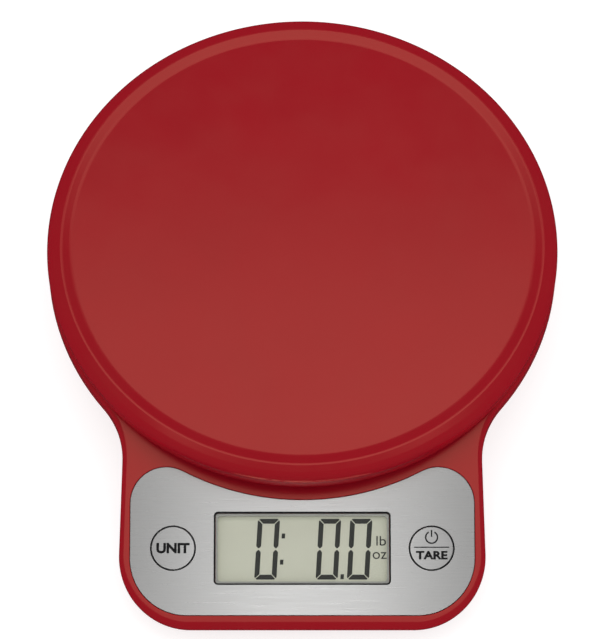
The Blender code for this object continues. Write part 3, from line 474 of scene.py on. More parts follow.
def brushed_metal(name, colour, roughness, along=(1.0, 0.03, 1.0), variation=0.06, turn=None, **sockets):
    """Metal drawn along one axis: fine lines in the colour, the sheen and the surface."""
    recipe = Recipe(name, roughness, 1.0, **sockets)
    lines = recipe.noise(3000.0, detail=4.0, rough=0.7, place=recipe.stretched(along))
    recipe.feed("Base Color", recipe.colours(
        lines, (0.3, shaded(colour, 1 - variation)), (0.7, shaded(colour, 1 + variation))))
    recipe.feed("Roughness", recipe.spread(lines, roughness * 0.88, roughness * 1.12))
    recipe.bump(lines, 0.004 * MM, 0.35)
    if turn is not None:
        direction = recipe.nodes.new("ShaderNodeCombineXYZ")
        for axis, value in zip("XYZ", turn):
            direction.inputs[axis].default_value = value
        recipe.feed("Tangent", direction.outputs["Vector"])
    return recipe.material


def plain_metal(name, colour, roughness, variation=0.08):
    """Turned or stamped metal: cloudy sheen and a shallow uneven surface."""
    recipe = Recipe(name, roughness, 1.0)
    clouds = recipe.noise(220.0, detail=5.0, rough=0.6)
    recipe.feed("Base Color", recipe.colours(
        clouds, (0.3, shaded(colour, 1 - variation)), (0.7, shaded(colour, 1 + variation))))
    recipe.feed("Roughness", recipe.spread(clouds, roughness * 0.75, roughness * 1.3))
    recipe.bump(recipe.noise(1800.0, detail=3.0), 0.01 * MM, 0.4)
    return recipe.material


def display_film(name):
    """The reflecting film of a liquid-crystal display: pale grey green with a faint sparkle."""
    recipe = Recipe(name, 0.42, Specular_IOR_Level=0.2)
    recipe.feed("Base Color", recipe.colours(
        recipe.noise(3500.0, detail=2.0), (0.3, (0.79, 0.805, 0.65)), (0.7, (0.83, 0.845, 0.69))))
    recipe.bump(recipe.noise(2200.0, detail=2.0), 0.004 * MM, 0.3)
    return recipe.material


def clear_sheet(name):
    """A clear window: mostly see-through, with the gloss of a hard-coated sheet."""
    recipe = Recipe(name, 0.05, IOR=2.2, Alpha=0.12)
    recipe.feed("Base Color", recipe.colours(
        recipe.noise(60.0), (0.3, (0.02, 0.02, 0.02)), (0.7, (0.035, 0.035, 0.035))))
    recipe.feed("Roughness", recipe.spread(recipe.noise(120.0, detail=4.0), 0.04, 0.08))
    return recipe.material


def printed_ink(name, colour):
    recipe = Recipe(name, 0.45, Specular_IOR_Level=0.2)
    recipe.feed("Base Color", recipe.colours(
        recipe.noise(5000.0, detail=2.0), (0.3, shaded(colour, 0.8)), (0.7, shaded(colour, 1.2))))
    recipe.bump(recipe.noise(9000.0), 0.002 * MM, 0.3)
    return recipe.material


def board_green(name):
    """Solder mask over copper lines, which show as a paler green."""
    recipe = Recipe(name, 0.35)
    cells = recipe.nodes.new("ShaderNodeTexBrick")
    cells.inputs["Scale"].default_value = 90.0
    cells.inputs["Mortar Size"].default_value = 0.06
    recipe.links.new(recipe.place, cells.inputs["Vector"])
    recipe.feed("Base Color", recipe.colours(
        cells.outputs["Fac"], (0.0, (0.012, 0.10, 0.045)), (1.0, (0.03, 0.2, 0.08))))
    recipe.bump(cells.outputs["Fac"], 0.03 * MM, 0.5)
    return recipe.material


def cell_jacket(name):
    """A shrink sleeve in two plain bands along the cell."""
    recipe = Recipe(name, 0.3, 0.4)
    split = recipe.nodes.new("ShaderNodeSeparateXYZ")
    recipe.links.new(recipe.place, split.inputs["Vector"])
    bands = recipe.spread(split.outputs["X"], 0.0, 1.0, -22.0 * MM, 22.0 * MM)
    recipe.feed("Base Color", recipe.colours(
        bands, (0.0, (0.5, 0.36, 0.08)), (0.24, (0.5, 0.36, 0.08)), (0.27, (0.012, 0.03, 0.025)),
        (0.75, (0.012, 0.03, 0.025)), (0.78, (0.35, 0.35, 0.36))))
    recipe.bump(recipe.noise(400.0), 0.02 * MM, 0.3)
    return recipe.material


# Colours are linear red, green and blue.
RED = (0.325, 0.0036, 0.0127)
RED_GLOSS = {"IOR": 2.3, "Specular_Tint": (1.0, 0.40, 0.28, 1.0)}
METAL = (0.5, 0.498, 0.492)
FACE_UP = (0.0, math.cos(DECK_TILT), math.sin(DECK_TILT))
MATERIALS = {
    "case_red": moulded_plastic("case_red", RED, 0.18, 0.35 * MM, 0.002 * MM, **RED_GLOSS),
    "platter_red": moulded_plastic("platter_red", RED, 0.18, 0.35 * MM, 0.002 * MM, **RED_GLOSS),
    "underside_red": moulded_plastic("underside_red", shaded(RED, 0.9), 0.42, 0.5 * MM, 0.02 * MM,
                                     **RED_GLOSS),
    "panel_metal": brushed_metal("panel_metal", METAL, 0.3, turn=FACE_UP,
                                 along=(0.02, 1.0, 1.0), Anisotropic=0.8),
    "key_metal": brushed_metal("key_metal", METAL, 0.3, turn=FACE_UP,
                               along=(0.02, 1.0, 1.0), Anisotropic=0.8),
    "window_clear": clear_sheet("window_clear"),
    "display_glass": display_film("display_glass"),
    "inner_moulding": moulded_plastic("inner_moulding", (0.62, 0.62, 0.6), 0.5, 0.5 * MM, 0.01 * MM),
    "contact_rubber": moulded_plastic("contact_rubber", (0.5, 0.3, 0.34), 0.7, 0.3 * MM, 0.02 * MM, 0.15),
    "circuit_board": board_green("circuit_board"),
    "black_resin": moulded_plastic("black_resin", (0.012, 0.012, 0.013), 0.35, 0.8 * MM, 0.03 * MM, 0.3),
    "bar_aluminium": brushed_metal("bar_aluminium", (0.62, 0.62, 0.64), 0.35, along=(0.03, 1.0, 1.0)),
    "screw_steel": plain_metal("screw_steel", (0.5, 0.5, 0.51), 0.28),
    "foot_rubber": moulded_plastic("foot_rubber", (0.022, 0.022, 0.023), 0.75, 0.25 * MM, 0.03 * MM, 0.2),
    "switch_shell": brushed_metal("switch_shell", (0.55, 0.55, 0.54), 0.3, along=(0.05, 1.0, 1.0)),
    "cell_jacket": cell_jacket("cell_jacket"),
    "spring_steel": plain_metal("spring_steel", (0.6, 0.58, 0.52), 0.22),
    "lead_red": moulded_plastic("lead_red", (0.45, 0.015, 0.015), 0.4, 0.4 * MM, 0.01 * MM),
    "lead_black": moulded_plastic("lead_black", (0.012, 0.012, 0.012), 0.4, 0.4 * MM, 0.01 * MM),
    "lead_white": moulded_plastic("lead_white", (0.66, 0.66, 0.63), 0.4, 0.4 * MM, 0.01 * MM),
    "surround": moulded_plastic("surround", (0.52, 0.525, 0.48), 0.5, 0.3 * MM, 0.002 * MM),
}
# Black print ink; it also fills the gaps around the keys as painted shade.
INK_AND_GAP_SHADE = printed_ink("printed_ink", (0.008, 0.008, 0.009))
CRYSTAL = printed_ink("crystal_segment", (0.034, 0.037, 0.03))


# ---------------------------------------------------------------- platter

def platter_profile():
    """Closed section, from the top of the axis over the rim, down the skirt and back under the disc."""
    disc_edge = Vector((DISC_RADIUS, DISC_TOP))
    crest_start = Vector((CREST_RADIUS - CREST_WIDTH, PLATTER_TOP))
    crest_end = Vector((CREST_RADIUS, PLATTER_TOP))
    rise = (crest_start - disc_edge).normalized()
    fall = Vector((math.cos(SHOULDER_FALL), -math.sin(SHOULDER_FALL)))
    shoulder_start = math.pi / 2 - SHOULDER_FALL
    shoulder_x = PLATTER_RADIUS - SHOULDER_RADIUS
    start_x = shoulder_x + SHOULDER_RADIUS * math.cos(shoulder_start)
    start_z = PLATTER_TOP - (start_x - CREST_RADIUS) * math.tan(SHOULDER_FALL)
    centre = (shoulder_x, start_z - SHOULDER_RADIUS * math.sin(shoulder_start))
    across = Vector((1.0, 0.0))

    outer = [(0.0, DISC_TOP)] + [(DISC_RADIUS * part, DISC_TOP) for part in (0.25, 0.5, 0.75, 0.9)]
    for corner, before, after, reach, steps in (
        (disc_edge, across, rise, DISC_ROUNDING, 4),
        (crest_start, rise, across, CREST_ROUNDING[0], 3),
        (crest_end, across, fall, CREST_ROUNDING[1], 3),
    ):
        outer += blend(corner - before * reach, corner, corner + after * reach, steps)
    outer += arc(centre, SHOULDER_RADIUS, shoulder_start, -SKIRT_DRAFT, math.radians(4))
    low_shoulder = outer[-1]
    skirt_x = low_shoulder[0] - (low_shoulder[1] - SKIRT_BOTTOM) * math.tan(SKIRT_DRAFT)
    edge_centre = (skirt_x - SKIRT_EDGE, SKIRT_BOTTOM + SKIRT_EDGE)
    outer += arc(edge_centre, SKIRT_EDGE, 0.0, -math.pi / 2, math.radians(22))
    inner_x = skirt_x - SKIRT_WALL
    inner = [(inner_x + SKIRT_EDGE, SKIRT_BOTTOM), (inner_x, SKIRT_BOTTOM + SKIRT_EDGE)]
    inner += arc(centre, SHOULDER_RADIUS - PLATTER_WALL, 0.0, math.pi / 2, math.radians(15))
    inner += [(DISC_RADIUS - 1 * MM, DISC_TOP - PLATTER_WALL), (0.0, DISC_TOP - PLATTER_WALL)]
    return outer + inner


def make_platter():
    bm = bmesh.new()
    add_turned(bm, platter_profile(), PLATTER_SEGMENTS)
    piece = make_piece("round_platter", bm, MATERIALS["platter_red"], "platter_body",
                       ["platter"], CASE_PLACE)
    bosses = bmesh.new()
    holes = bmesh.new()
    bracket_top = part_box("platter_bracket")[1].z
    for k in range(4):
        angle = math.pi / 4 + k * math.pi / 2
        centre = (PLATTER_BOSS_DISTANCE * math.cos(angle), PLATTER_BOSS_DISTANCE * math.sin(angle))
        add_cylinder(bosses, PLATTER_BOSS_RADIUS, bracket_top + CLEARANCE, DISC_TOP - PLATTER_WALL / 2,
                     centre, 32)
        add_cylinder(holes, SCREW_HOLE, bracket_top - 1 * MM, DISC_TOP - 1.2 * MM, centre, 24)
    apply_boolean(piece, bosses, "UNION", CASE_PLACE)
    apply_boolean(piece, holes, "DIFFERENCE", CASE_PLACE)
    weigh_normals(piece)


# ---------------------------------------------------------------- case

def case_half_outline():
    """The right side of the case's plan, from the back to the front edge, as (x, y, normal x, normal y)."""
    side = Vector((math.cos(LOBE_FLARE), math.sin(LOBE_FLARE)))
    forward = Vector((math.sin(LOBE_FLARE), -math.cos(LOBE_FLARE)))
    corner = Vector((LOBE_HALF_WIDTH - LOBE_CORNER, LOBE_CORNER - FRONT_REACH))
    across = side.dot(corner) + LOBE_CORNER + NECK_FILLET
    along = math.sqrt((CASE_RADIUS + NECK_FILLET) ** 2 - across ** 2)
    fillet = side * across + forward * along
    neck_angle = math.atan2(fillet.y, fillet.x)

    half = []
    for x, y in arc((0.0, 0.0), CASE_RADIUS, math.pi / 2, neck_angle):
        half.append((x, y, x / CASE_RADIUS, y / CASE_RADIUS))
    hollow = arc(fillet, NECK_FILLET, neck_angle + math.pi, math.pi + LOBE_FLARE)
    for x, y in hollow[1:]:
        half.append((x, y, (fillet.x - x) / NECK_FILLET, (fillet.y - y) / NECK_FILLET))
    for x, y in arc(corner, LOBE_CORNER, LOBE_FLARE, -math.pi / 2):
        half.append((x, y, (x - corner.x) / LOBE_CORNER, (y - corner.y) / LOBE_CORNER))
    return half


def add_case_solid(bm, wall, deck_drop, bottom, edge_radius):
    """The case's outer form, moved in by a wall, from below the deck down to a flat bottom.

    Without an edge radius it is the plain form of the cavity, with no rounding at the deck or the floor.
    """
    half = case_half_outline()
    turns = [math.pi / 2]
    foot_levels = ((0.0, 0.0),)
    if edge_radius:
        turns = [math.radians(step) for step in range(0, 91, 10)]
        foot_levels = ((FLOOR_EDGE, 0.0), (FLOOR_EDGE * 0.3, FLOOR_EDGE * 0.15), (0.0, FLOOR_EDGE * 0.6))

    def belt(y):
        return min(BELT_HEIGHT, deck_height(y) - BELT_DROP)

    def belt_turn(y):
        """Insets and heights around the belt: upright above it, tapering below it."""
        above = (wall, belt(y) + BELT_BLEND)
        below = (wall + BELT_BLEND * math.tan(SIDE_TAPER), belt(y) - BELT_BLEND)
        return blend(above, (wall, belt(y)), below, BELT_STEPS)

    rings = []
    for turn in turns:
        inset = wall + edge_radius * (1 - math.sin(turn))
        drop = deck_drop + edge_radius * (1 - math.cos(turn))
        rings.append([(x - nx * inset, y - ny * inset, deck_height(y - ny * inset) - drop)
                      for x, y, nx, ny in half])
    for step in range(BELT_STEPS + 1):
        ring = []
        for x, y, nx, ny in half:
            inset, height = belt_turn(y)[step]
            ring.append((x - nx * inset, y - ny * inset, height))
        rings.append(ring)
    for rise, extra in foot_levels:
        ring = []
        for x, y, nx, ny in half:
            inset = wall + (belt(y) - bottom - rise) * math.tan(SIDE_TAPER) + extra
            ring.append((x - nx * inset, y - ny * inset, bottom + rise))
        rings.append(ring)

    loops = []
    for ring in rings:
        mirrored = [(-x, y, z) for x, y, z in reversed(ring[1:])]
        loops.append([bm.verts.new(point) for point in ring + mirrored])
    count = len(loops[0])
    for loop, below in zip(loops, loops[1:]):
        for k in range(count):
            following = (k + 1) % count
            bm.faces.new((loop[k], loop[following], below[following], below[k]))
    # The deck and the floor are strips from side to side, because their height changes only along Y.
    for loop in (loops[0], loops[-1]):
        for k in range(count // 2):
            corners = (loop[k], loop[-k], loop[-k - 1], loop[k + 1])
            bm.faces.new(list(dict.fromkeys(corners)))


def panel_outline(inset):
    """The face panel's outline on the tilted lobe; its top edge runs around the platter."""
    half_width = PANEL_HALF_WIDTH - inset
    arc_radius = PANEL_ARC_RADIUS + inset
    upper_radius = PANEL_UPPER_CORNER - inset
    lower_radius = PANEL_LOWER_CORNER - inset
    upper_x = half_width - upper_radius
    upper = (upper_x, -math.sqrt((arc_radius + upper_radius) ** 2 - upper_x ** 2))
    lower = (half_width - lower_radius, PANEL_FRONT_Y + inset + lower_radius)
    tangent = math.atan2(upper[1], upper[0])
    right = counted_arc((0.0, 0.0), arc_radius, -math.pi / 2, tangent, PANEL_ARC_STEPS)
    right += counted_arc(upper, upper_radius, tangent + math.pi, 0.0, PANEL_ARC_STEPS)[1:]
    right += counted_arc(lower, lower_radius, 0.0, -math.pi / 2, PANEL_ARC_STEPS)
    left = [(-x, y) for x, y in reversed(right[1:])]
    return [(x, (y - KEY_LINE_Y) / math.cos(DECK_TILT)) for x, y in right + left]


def make_shell(name, material, node, keep_above):
    bm = bmesh.new()
    add_case_solid(bm, 0.0, 0.0, FLOOR_BOTTOM, DECK_EDGE_RADIUS)
    shell = make_piece(name, bm, material, "base", [node], CASE_PLACE)
    cavity = bmesh.new()
    add_case_solid(cavity, WALL, PLATTER_WALL, FLOOR_TOP, 0.0)
    apply_boolean(shell, cavity, "DIFFERENCE", CASE_PLACE)
    reach = 2 * FRONT_REACH
    other_part = bmesh.new()
    if keep_above:
        add_box(other_part, (-reach, -reach, -reach), (reach, reach, PARTING_HEIGHT + PARTING_GAP / 2))
    else:
        add_box(other_part, (-reach, -reach, PARTING_HEIGHT - PARTING_GAP / 2), (reach, reach, reach))
    apply_boolean(shell, other_part, "DIFFERENCE", CASE_PLACE)
    return shell


def make_upper_case():
    shell = make_shell("case_cover", MATERIALS["case_red"], "upper_case", keep_above=True)
    recess = bmesh.new()
    layers = [(panel_outline(0.0), -RECESS_DEPTH), (panel_outline(0.0), -RECESS_RIM)]
    for step in (30, 60, 90):
        turn = math.radians(step)
        outline = panel_outline(-RECESS_RIM * (1 - math.cos(turn)))
        layers.append((outline, -RECESS_RIM * (1 - math.sin(turn))))
    layers.append((panel_outline(-RECESS_RIM), CUT_REACH))
    add_layers(recess, layers)
    apply_boolean(shell, recess, "DIFFERENCE", LOBE_PLACE)
    openings = bmesh.new()
    add_polygon(openings, rounded_rectangle(*VIEW_OPENING, WINDOW_CORNER), -CUT_REACH, CUT_REACH)
    for side in (1, -1):
        add_cylinder(openings, KEY_RADIUS + KEY_GAP, -CUT_REACH, CUT_REACH, (side * KEY_X, 0.0), KEY_SEGMENTS)
    apply_boolean(shell, openings, "DIFFERENCE", LOBE_PLACE)
    posts = bmesh.new()
    for place in both_sides(CASE_SCREW_PLACES):
        top = deck_height(place[1] - POST_RADIUS) - WALL / 2
        add_turned(posts, ((0.0, POST_HOLE_TOP), (SCREW_HOLE, POST_HOLE_TOP), (SCREW_HOLE, POST_BOTTOM),
                           (POST_RADIUS, POST_BOTTOM), (POST_RADIUS, top), (0.0, top)), 24, place)
    apply_boolean(shell, posts, "UNION", CASE_PLACE)
    hub_hole = bmesh.new()
    add_cylinder(hub_hole, HUB_HOLE_RADIUS, DECK_HEIGHT - CUT_REACH, DECK_HEIGHT + CUT_REACH, segments=96)
    apply_boolean(shell, hub_hole, "DIFFERENCE", CASE_PLACE)
    weigh_normals(shell)


def make_lower_case():
    shell = make_shell("case_tray", MATERIALS["underside_red"], "lower_case",
                       keep_above=False)
    bay_back = HINGE_Y + DOOR_DEPTH + 0.5 * MM
    bay_front = HINGE_Y - 1.15 * MM
    bay = bmesh.new()
    add_box(bay,
            (-BAY_HALF_LENGTH - BAY_END_WALL, bay_front - BAY_SIDE_WALL, FLOOR_TOP - 1 * MM),
            (BAY_HALF_LENGTH + BAY_END_WALL, bay_back + BAY_SIDE_WALL, BAY_ROOF + BAY_SIDE_WALL))
    apply_boolean(shell, bay, "UNION", CASE_PLACE)
    bosses = bmesh.new()
    for place in both_sides(CASE_SCREW_PLACES):
        add_cylinder(bosses, BOSS_RADIUS, FLOOR_TOP - 1 * MM, BOSS_TOP, place, 48)
    apply_boolean(shell, bosses, "UNION", CASE_PLACE)

    hollows = bmesh.new()
    add_box(hollows, (-BAY_HALF_LENGTH, bay_front, 0.0), (BAY_HALF_LENGTH, bay_back, BAY_ROOF))
    for place in both_sides(FOOT_PLACES):
        add_turned(hollows, ((0.0, 0.0), (FOOT_RADIUS + 0.7 * MM, 0.0), (FOOT_RADIUS + 0.7 * MM, 2.0 * MM),
                             (FOOT_RADIUS + CLEARANCE, 2.3 * MM), (FOOT_RADIUS + CLEARANCE, 3.3 * MM),
                             (0.0, 3.3 * MM)), 64, place)
    for place in both_sides(CASE_SCREW_PLACES):
        mouth = HEAD_POCKET_RADIUS + 0.4 * MM
        add_turned(hollows, ((0.0, 0.0), (mouth, 0.0), (mouth, 2.0 * MM), (HEAD_POCKET_RADIUS, 2.4 * MM),
                             (HEAD_POCKET_RADIUS, 4.4 * MM), (SCREW_HOLE, 4.4 * MM), (SCREW_HOLE, 12 * MM),
                             (0.0, 12 * MM)), 48, place)
    for place in BAR_SCREW_PLACES:
        add_turned(hollows, ((0.0, 0.0), (HEAD_POCKET_RADIUS, 0.0), (HEAD_POCKET_RADIUS, 3.2 * MM),
                             (SCREW_HOLE, 3.2 * MM), (SCREW_HOLE, 6 * MM), (0.0, 6 * MM)), 48, place)
    apply_boolean(shell, hollows, "DIFFERENCE", CASE_PLACE)
    pin_holes = bmesh.new()
    for side in (1, -1):
        inner, outer = sorted((side * (BAY_HALF_LENGTH - 1 * MM), side * (BAY_HALF_LENGTH + 1.9 * MM)))
        add_bar_along_x(pin_holes, HINGE_PIN_RADIUS + CLEARANCE, inner, outer, HINGE_Y, HINGE_Z)
    apply_boolean(shell, pin_holes, "DIFFERENCE", CASE_PLACE)
    weigh_normals(shell)


# ---------------------------------------------------------------- panel, window and display

def make_face_panel():
    bm = bmesh.new()
    add_rounded_plate(bm, lambda inset: panel_outline(PANEL_GAP + inset), PANEL_BOTTOM, PANEL_TOP, PANEL_EDGE)
    panel = make_piece("display_panel", bm, MATERIALS["panel_metal"], "base", ["face_panel"],
                       LOBE_PLACE)
    openings = bmesh.new()
    add_polygon(openings, rounded_rectangle(*WINDOW_SIZE, WINDOW_CORNER), -PANEL_CUT_REACH, PANEL_CUT_REACH)
    for side in (1, -1):
        add_cylinder(openings, KEY_RADIUS + KEY_GAP, -PANEL_CUT_REACH, PANEL_CUT_REACH, (side * KEY_X, 0.0),
                     KEY_SEGMENTS)
    apply_boolean(panel, openings, "DIFFERENCE", LOBE_PLACE)
    weigh_normals(panel)


def make_window():
    """The clear sheet, and the dark border printed around it."""
    width, depth = (side - 2 * CLEARANCE for side in WINDOW_SIZE)
    corner = WINDOW_CORNER - CLEARANCE
    bm = bmesh.new()
    add_rounded_plate(bm, lambda inset: rounded_rectangle(width, depth, corner, inset),
                      PANEL_BOTTOM, PANEL_TOP, WINDOW_EDGE)
    window = make_piece("display_window", bm, MATERIALS["window_clear"], "base",
                        ["lcd_window"], LOBE_PLACE)
    weigh_normals(window)

    border = bmesh.new()
    outer, inner = (rounded_rectangle(*WINDOW_SIZE, WINDOW_CORNER, inset) for inset in BORDER_INSETS)
    low, high = -RECESS_DEPTH + 0.02 * MM, PANEL_TOP + 0.02 * MM
    add_loops(border, [[(x, y, z) for x, y in outline]
                       for outline, z in ((outer, low), (outer, high), (inner, high), (inner, low))])
    make_piece("window_border", border, INK_AND_GAP_SHADE, "base", (), LOBE_PLACE)


def make_surround():
    """A grey green collar that lines the opening under the window."""
    collar = bmesh.new()
    bottom, top, foot = -RECESS_DEPTH + 0.02 * MM, -0.75 * MM, GLASS_TOP + 0.1 * MM
    profile = ((WINDOW_SIZE, 0.6 * MM, bottom), (WINDOW_SIZE, 0.6 * MM, top),
               (VIEW_OPENING, 0.2 * MM, top), (VIEW_OPENING, 0.2 * MM, foot),
               (VIEW_OPENING, 0.03 * MM, foot), (VIEW_OPENING, 0.03 * MM, bottom))
    add_loops(collar, [[(x, y, z) for x, y in rounded_rectangle(*size, WINDOW_CORNER, inset)]
                       for size, inset, z in profile])
    make_piece("display_surround", collar, MATERIALS["surround"], "base", (), LOBE_PLACE)


def digit_segments():
    """The six lit segments of a nought, centred on its own middle, before the slant."""
    half_width, half_height = DIGIT_WIDTH / 2, DIGIT_HEIGHT / 2
    slip = SEGMENT_GAP / math.sqrt(2)
    end = half_height - MIDDLE_GAP / 2
    # Across and down from the upper left corner.
    bar = [(CORNER_CUT, 0.0), ((CORNER_CUT + slip) / 2, (CORNER_CUT - slip) / 2), (STROKE + slip, STROKE)]
    bar += [(DIGIT_WIDTH - x, y) for x, y in reversed(bar)]
    post = [(0.0, CORNER_CUT), ((CORNER_CUT - slip) / 2, (CORNER_CUT + slip) / 2), (STROKE, STROKE + slip),
            (STROKE, end - STROKE * 0.45), (STROKE * 0.62, end), (STROKE * 0.38, end),
            (0.0, end - STROKE * 0.45)]
    shapes = []
    for flip_y in (1, -1):
        shapes.append([(x - half_width, flip_y * (half_height - y)) for x, y in bar])
        for flip_x in (1, -1):
            shapes.append([(flip_x * (x - half_width), flip_y * (half_height - y)) for x, y in post])
    return shapes


def make_display():
    """The glass plate with its lit segments, dots and unit words as a thin print."""
    bm = bmesh.new()
    add_rounded_plate(bm, lambda inset: rounded_rectangle(*GLASS_SIZE, GLASS_CORNER, inset),
                      GLASS_BOTTOM, GLASS_TOP, GLASS_EDGE)
    glass = make_piece("display_glass_plate", bm, MATERIALS["display_glass"], "base",
                       ["lcd_glass"], LOBE_PLACE)
    weigh_normals(glass)

    top = GLASS_TOP + PRINT_THICKNESS
    segments = bmesh.new()
    for centre_x in DIGIT_CENTRES:
        for shape in digit_segments():
            outline = [(centre_x + x + y * SLANT, y + SIGHT_SHIFT) for x, y in shape]
            add_polygon(segments, outline, GLASS_TOP, top)
    for centre_x, centre_y in COLON_DOTS + (DECIMAL_POINT,):
        half_x, half_y = DOT_SIZE[0] / 2, DOT_SIZE[1] / 2
        outline = [(centre_x + x + y * SLANT, centre_y + y + SIGHT_SHIFT)
                   for x, y in ((-half_x, -half_y), (half_x, -half_y), (half_x, half_y), (-half_x, half_y))]
        add_polygon(segments, outline, GLASS_TOP, top)
    make_piece("display_digits", segments, CRYSTAL, "base", (), LOBE_PLACE)
    for word, centre, size in UNIT_WORDS:
        make_word(f"display_{word}", word, (centre[0], centre[1] + SIGHT_SHIFT), size, 0.0, GLASS_TOP,
                  CRYSTAL, "base")


def make_word(name, word, centre, size, boldness, base, material, body):
    """Flat lettering of a given width and height, as a thin closed mesh."""
    curve = bpy.data.curves.new(name, "FONT")
    curve.body = word
    curve.size = 1.0
    curve.offset = boldness
    curve.extrude = 0.01
    curve.resolution_u = 6
    text = bpy.data.objects.new(name, curve)
    bpy.context.collection.objects.link(text)
    bpy.context.view_layer.update()
    graph = bpy.context.evaluated_depsgraph_get()
    mesh = bpy.data.meshes.new_from_object(text.evaluated_get(graph))
    bpy.data.objects.remove(text)
    bm = bmesh.new()
    bm.from_mesh(mesh)
    bpy.data.meshes.remove(mesh)
    bmesh.ops.remove_doubles(bm, verts=bm.verts, dist=1e-5)
    low = Vector([min(vert.co[axis] for vert in bm.verts) for axis in range(3)])
    high = Vector([max(vert.co[axis] for vert in bm.verts) for axis in range(3)])
    middle = (low + high) / 2
    for vert in bm.verts:
        vert.co.x = centre[0] + (vert.co.x - middle.x) / (high.x - low.x) * size[0]
        vert.co.y = centre[1] + (vert.co.y - middle.y) / (high.y - low.y) * size[1]
        vert.co.z = base + (vert.co.z - low.z) / (high.z - low.z) * PRINT_THICKNESS
    make_piece(name, bm, material, body, (), LOBE_PLACE)


# ---------------------------------------------------------------- keys

def make_keys():
    for name, side in (("unit", -1), ("tare", 1)):
        centre = (side * KEY_X, 0.0)
        profile = [(0.0, PANEL_TOP), (KEY_RADIUS * 0.5, PANEL_TOP)]
        profile += arc((KEY_RADIUS - KEY_EDGE, PANEL_TOP - KEY_EDGE), KEY_EDGE, math.pi / 2, 0.0,
                       math.radians(15))
        profile += [(KEY_RADIUS, KEY_FLANGE_TOP), (KEY_FLANGE_RADIUS, KEY_FLANGE_TOP),
                    (KEY_FLANGE_RADIUS, KEY_FLANGE_BOTTOM), (0.0, KEY_FLANGE_BOTTOM)]
        cap = bmesh.new()
        add_turned(cap, profile, KEY_SEGMENTS, centre)
        key = make_piece(f"{name}_button", cap, MATERIALS["key_metal"], f"{name}_key_body",
                         [f"{name}_key"], LOBE_PLACE)
        weigh_normals(key)

        # A black sleeve filling the gap around the key: painted shade standing in for the shadow down the
        # gap.
        ring = bmesh.new()
        inner, outer = KEY_RADIUS + 0.06 * MM, KEY_RADIUS + KEY_GAP - 0.01 * MM
        low, high = -1.0 * MM, PANEL_TOP + 0.01 * MM
        add_turned(ring, ((inner, low), (outer, low), (outer, high), (inner, high)), KEY_SEGMENTS, centre)
        make_piece(f"{name}_key_ring", ring, INK_AND_GAP_SHADE, "base", (), LOBE_PLACE)

    make_word("unit_legend", "UNIT", (-KEY_X, 0.0), (10.6 * MM, 3.38 * MM), 0.045, PANEL_TOP, INK_AND_GAP_SHADE,
              "unit_key_body")
    make_word("tare_legend", "TARE", (KEY_X, -2.27 * MM), (10.1 * MM, 2.76 * MM), 0.042, PANEL_TOP, INK_AND_GAP_SHADE,
              "tare_key_body")
    make_power_sign()


def make_power_sign():
    """A broken ring with a bar in its gap, over a dividing line."""
    bm = bmesh.new()
    centre = (KEY_X, POWER_SIGN_Y)
    start = math.pi / 2 + POWER_SIGN_HALF_GAP
    end = math.pi * 2.5 - POWER_SIGN_HALF_GAP
    outer = arc(centre, POWER_SIGN_RADIUS + POWER_SIGN_HALF_STROKE, start, end, math.radians(8))
    inner = arc(centre, POWER_SIGN_RADIUS - POWER_SIGN_HALF_STROKE, end, start, math.radians(8))
    top = PANEL_TOP + PRINT_THICKNESS
    add_polygon(bm, outer + inner, PANEL_TOP, top)
    for middle, width, depth in (((KEY_X, 4.75 * MM), 0.46 * MM, 2.2 * MM),
                                 ((KEY_X, 0.3 * MM), 11.3 * MM, 0.34 * MM)):
        outline = [(middle[0] + x, middle[1] + y) for x, y in rounded_rectangle(width, depth, 0.12 * MM)]
        add_polygon(bm, outline, PANEL_TOP, top)
    make_piece("power_sign", bm, INK_AND_GAP_SHADE, "tare_key_body", (), LOBE_PLACE)


# ---------------------------------------------------------------- underside

def make_feet():
    for number, place in enumerate(both_sides(FOOT_PLACES), start=1):
        rim = arc((FOOT_RADIUS - FOOT_EDGE, FOOT_EDGE), FOOT_EDGE, -math.pi / 2, 0.0, math.radians(15))
        dimple = [(0.0, 0.35 * MM), (2.2 * MM, 0.35 * MM), (2.9 * MM, 0.0)]
        bm = bmesh.new()
        add_turned(bm, dimple + rim + [(FOOT_RADIUS, FOOT_HEIGHT), (0.0, FOOT_HEIGHT)], 64, place)
        foot = make_piece(f"rubber_foot_{number}", bm, MATERIALS["foot_rubber"], "base",
                          [f"foot_{number}"], CASE_PLACE)
        weigh_normals(foot)


def add_screw(bm, head_radius, head_height, shank_length, centre, height):
    """A screw pointing up, its domed head below, with the underside of the head at the given height."""
    head = [(0.0, height - head_height)]
    for step in range(0, 91, 15):
        turn = math.radians(step)
        head.append((head_radius * (0.55 + 0.45 * math.sin(turn)),
                     height - head_height * (0.35 + 0.65 * math.cos(turn))))
    shank = [(SHANK_RADIUS, height), (SHANK_RADIUS, height + shank_length - 0.5 * MM),
             (SHANK_RADIUS * 0.5, height + shank_length), (0.0, height + shank_length)]
    add_turned(bm, head + [(head_radius, height)] + shank, 32, centre)


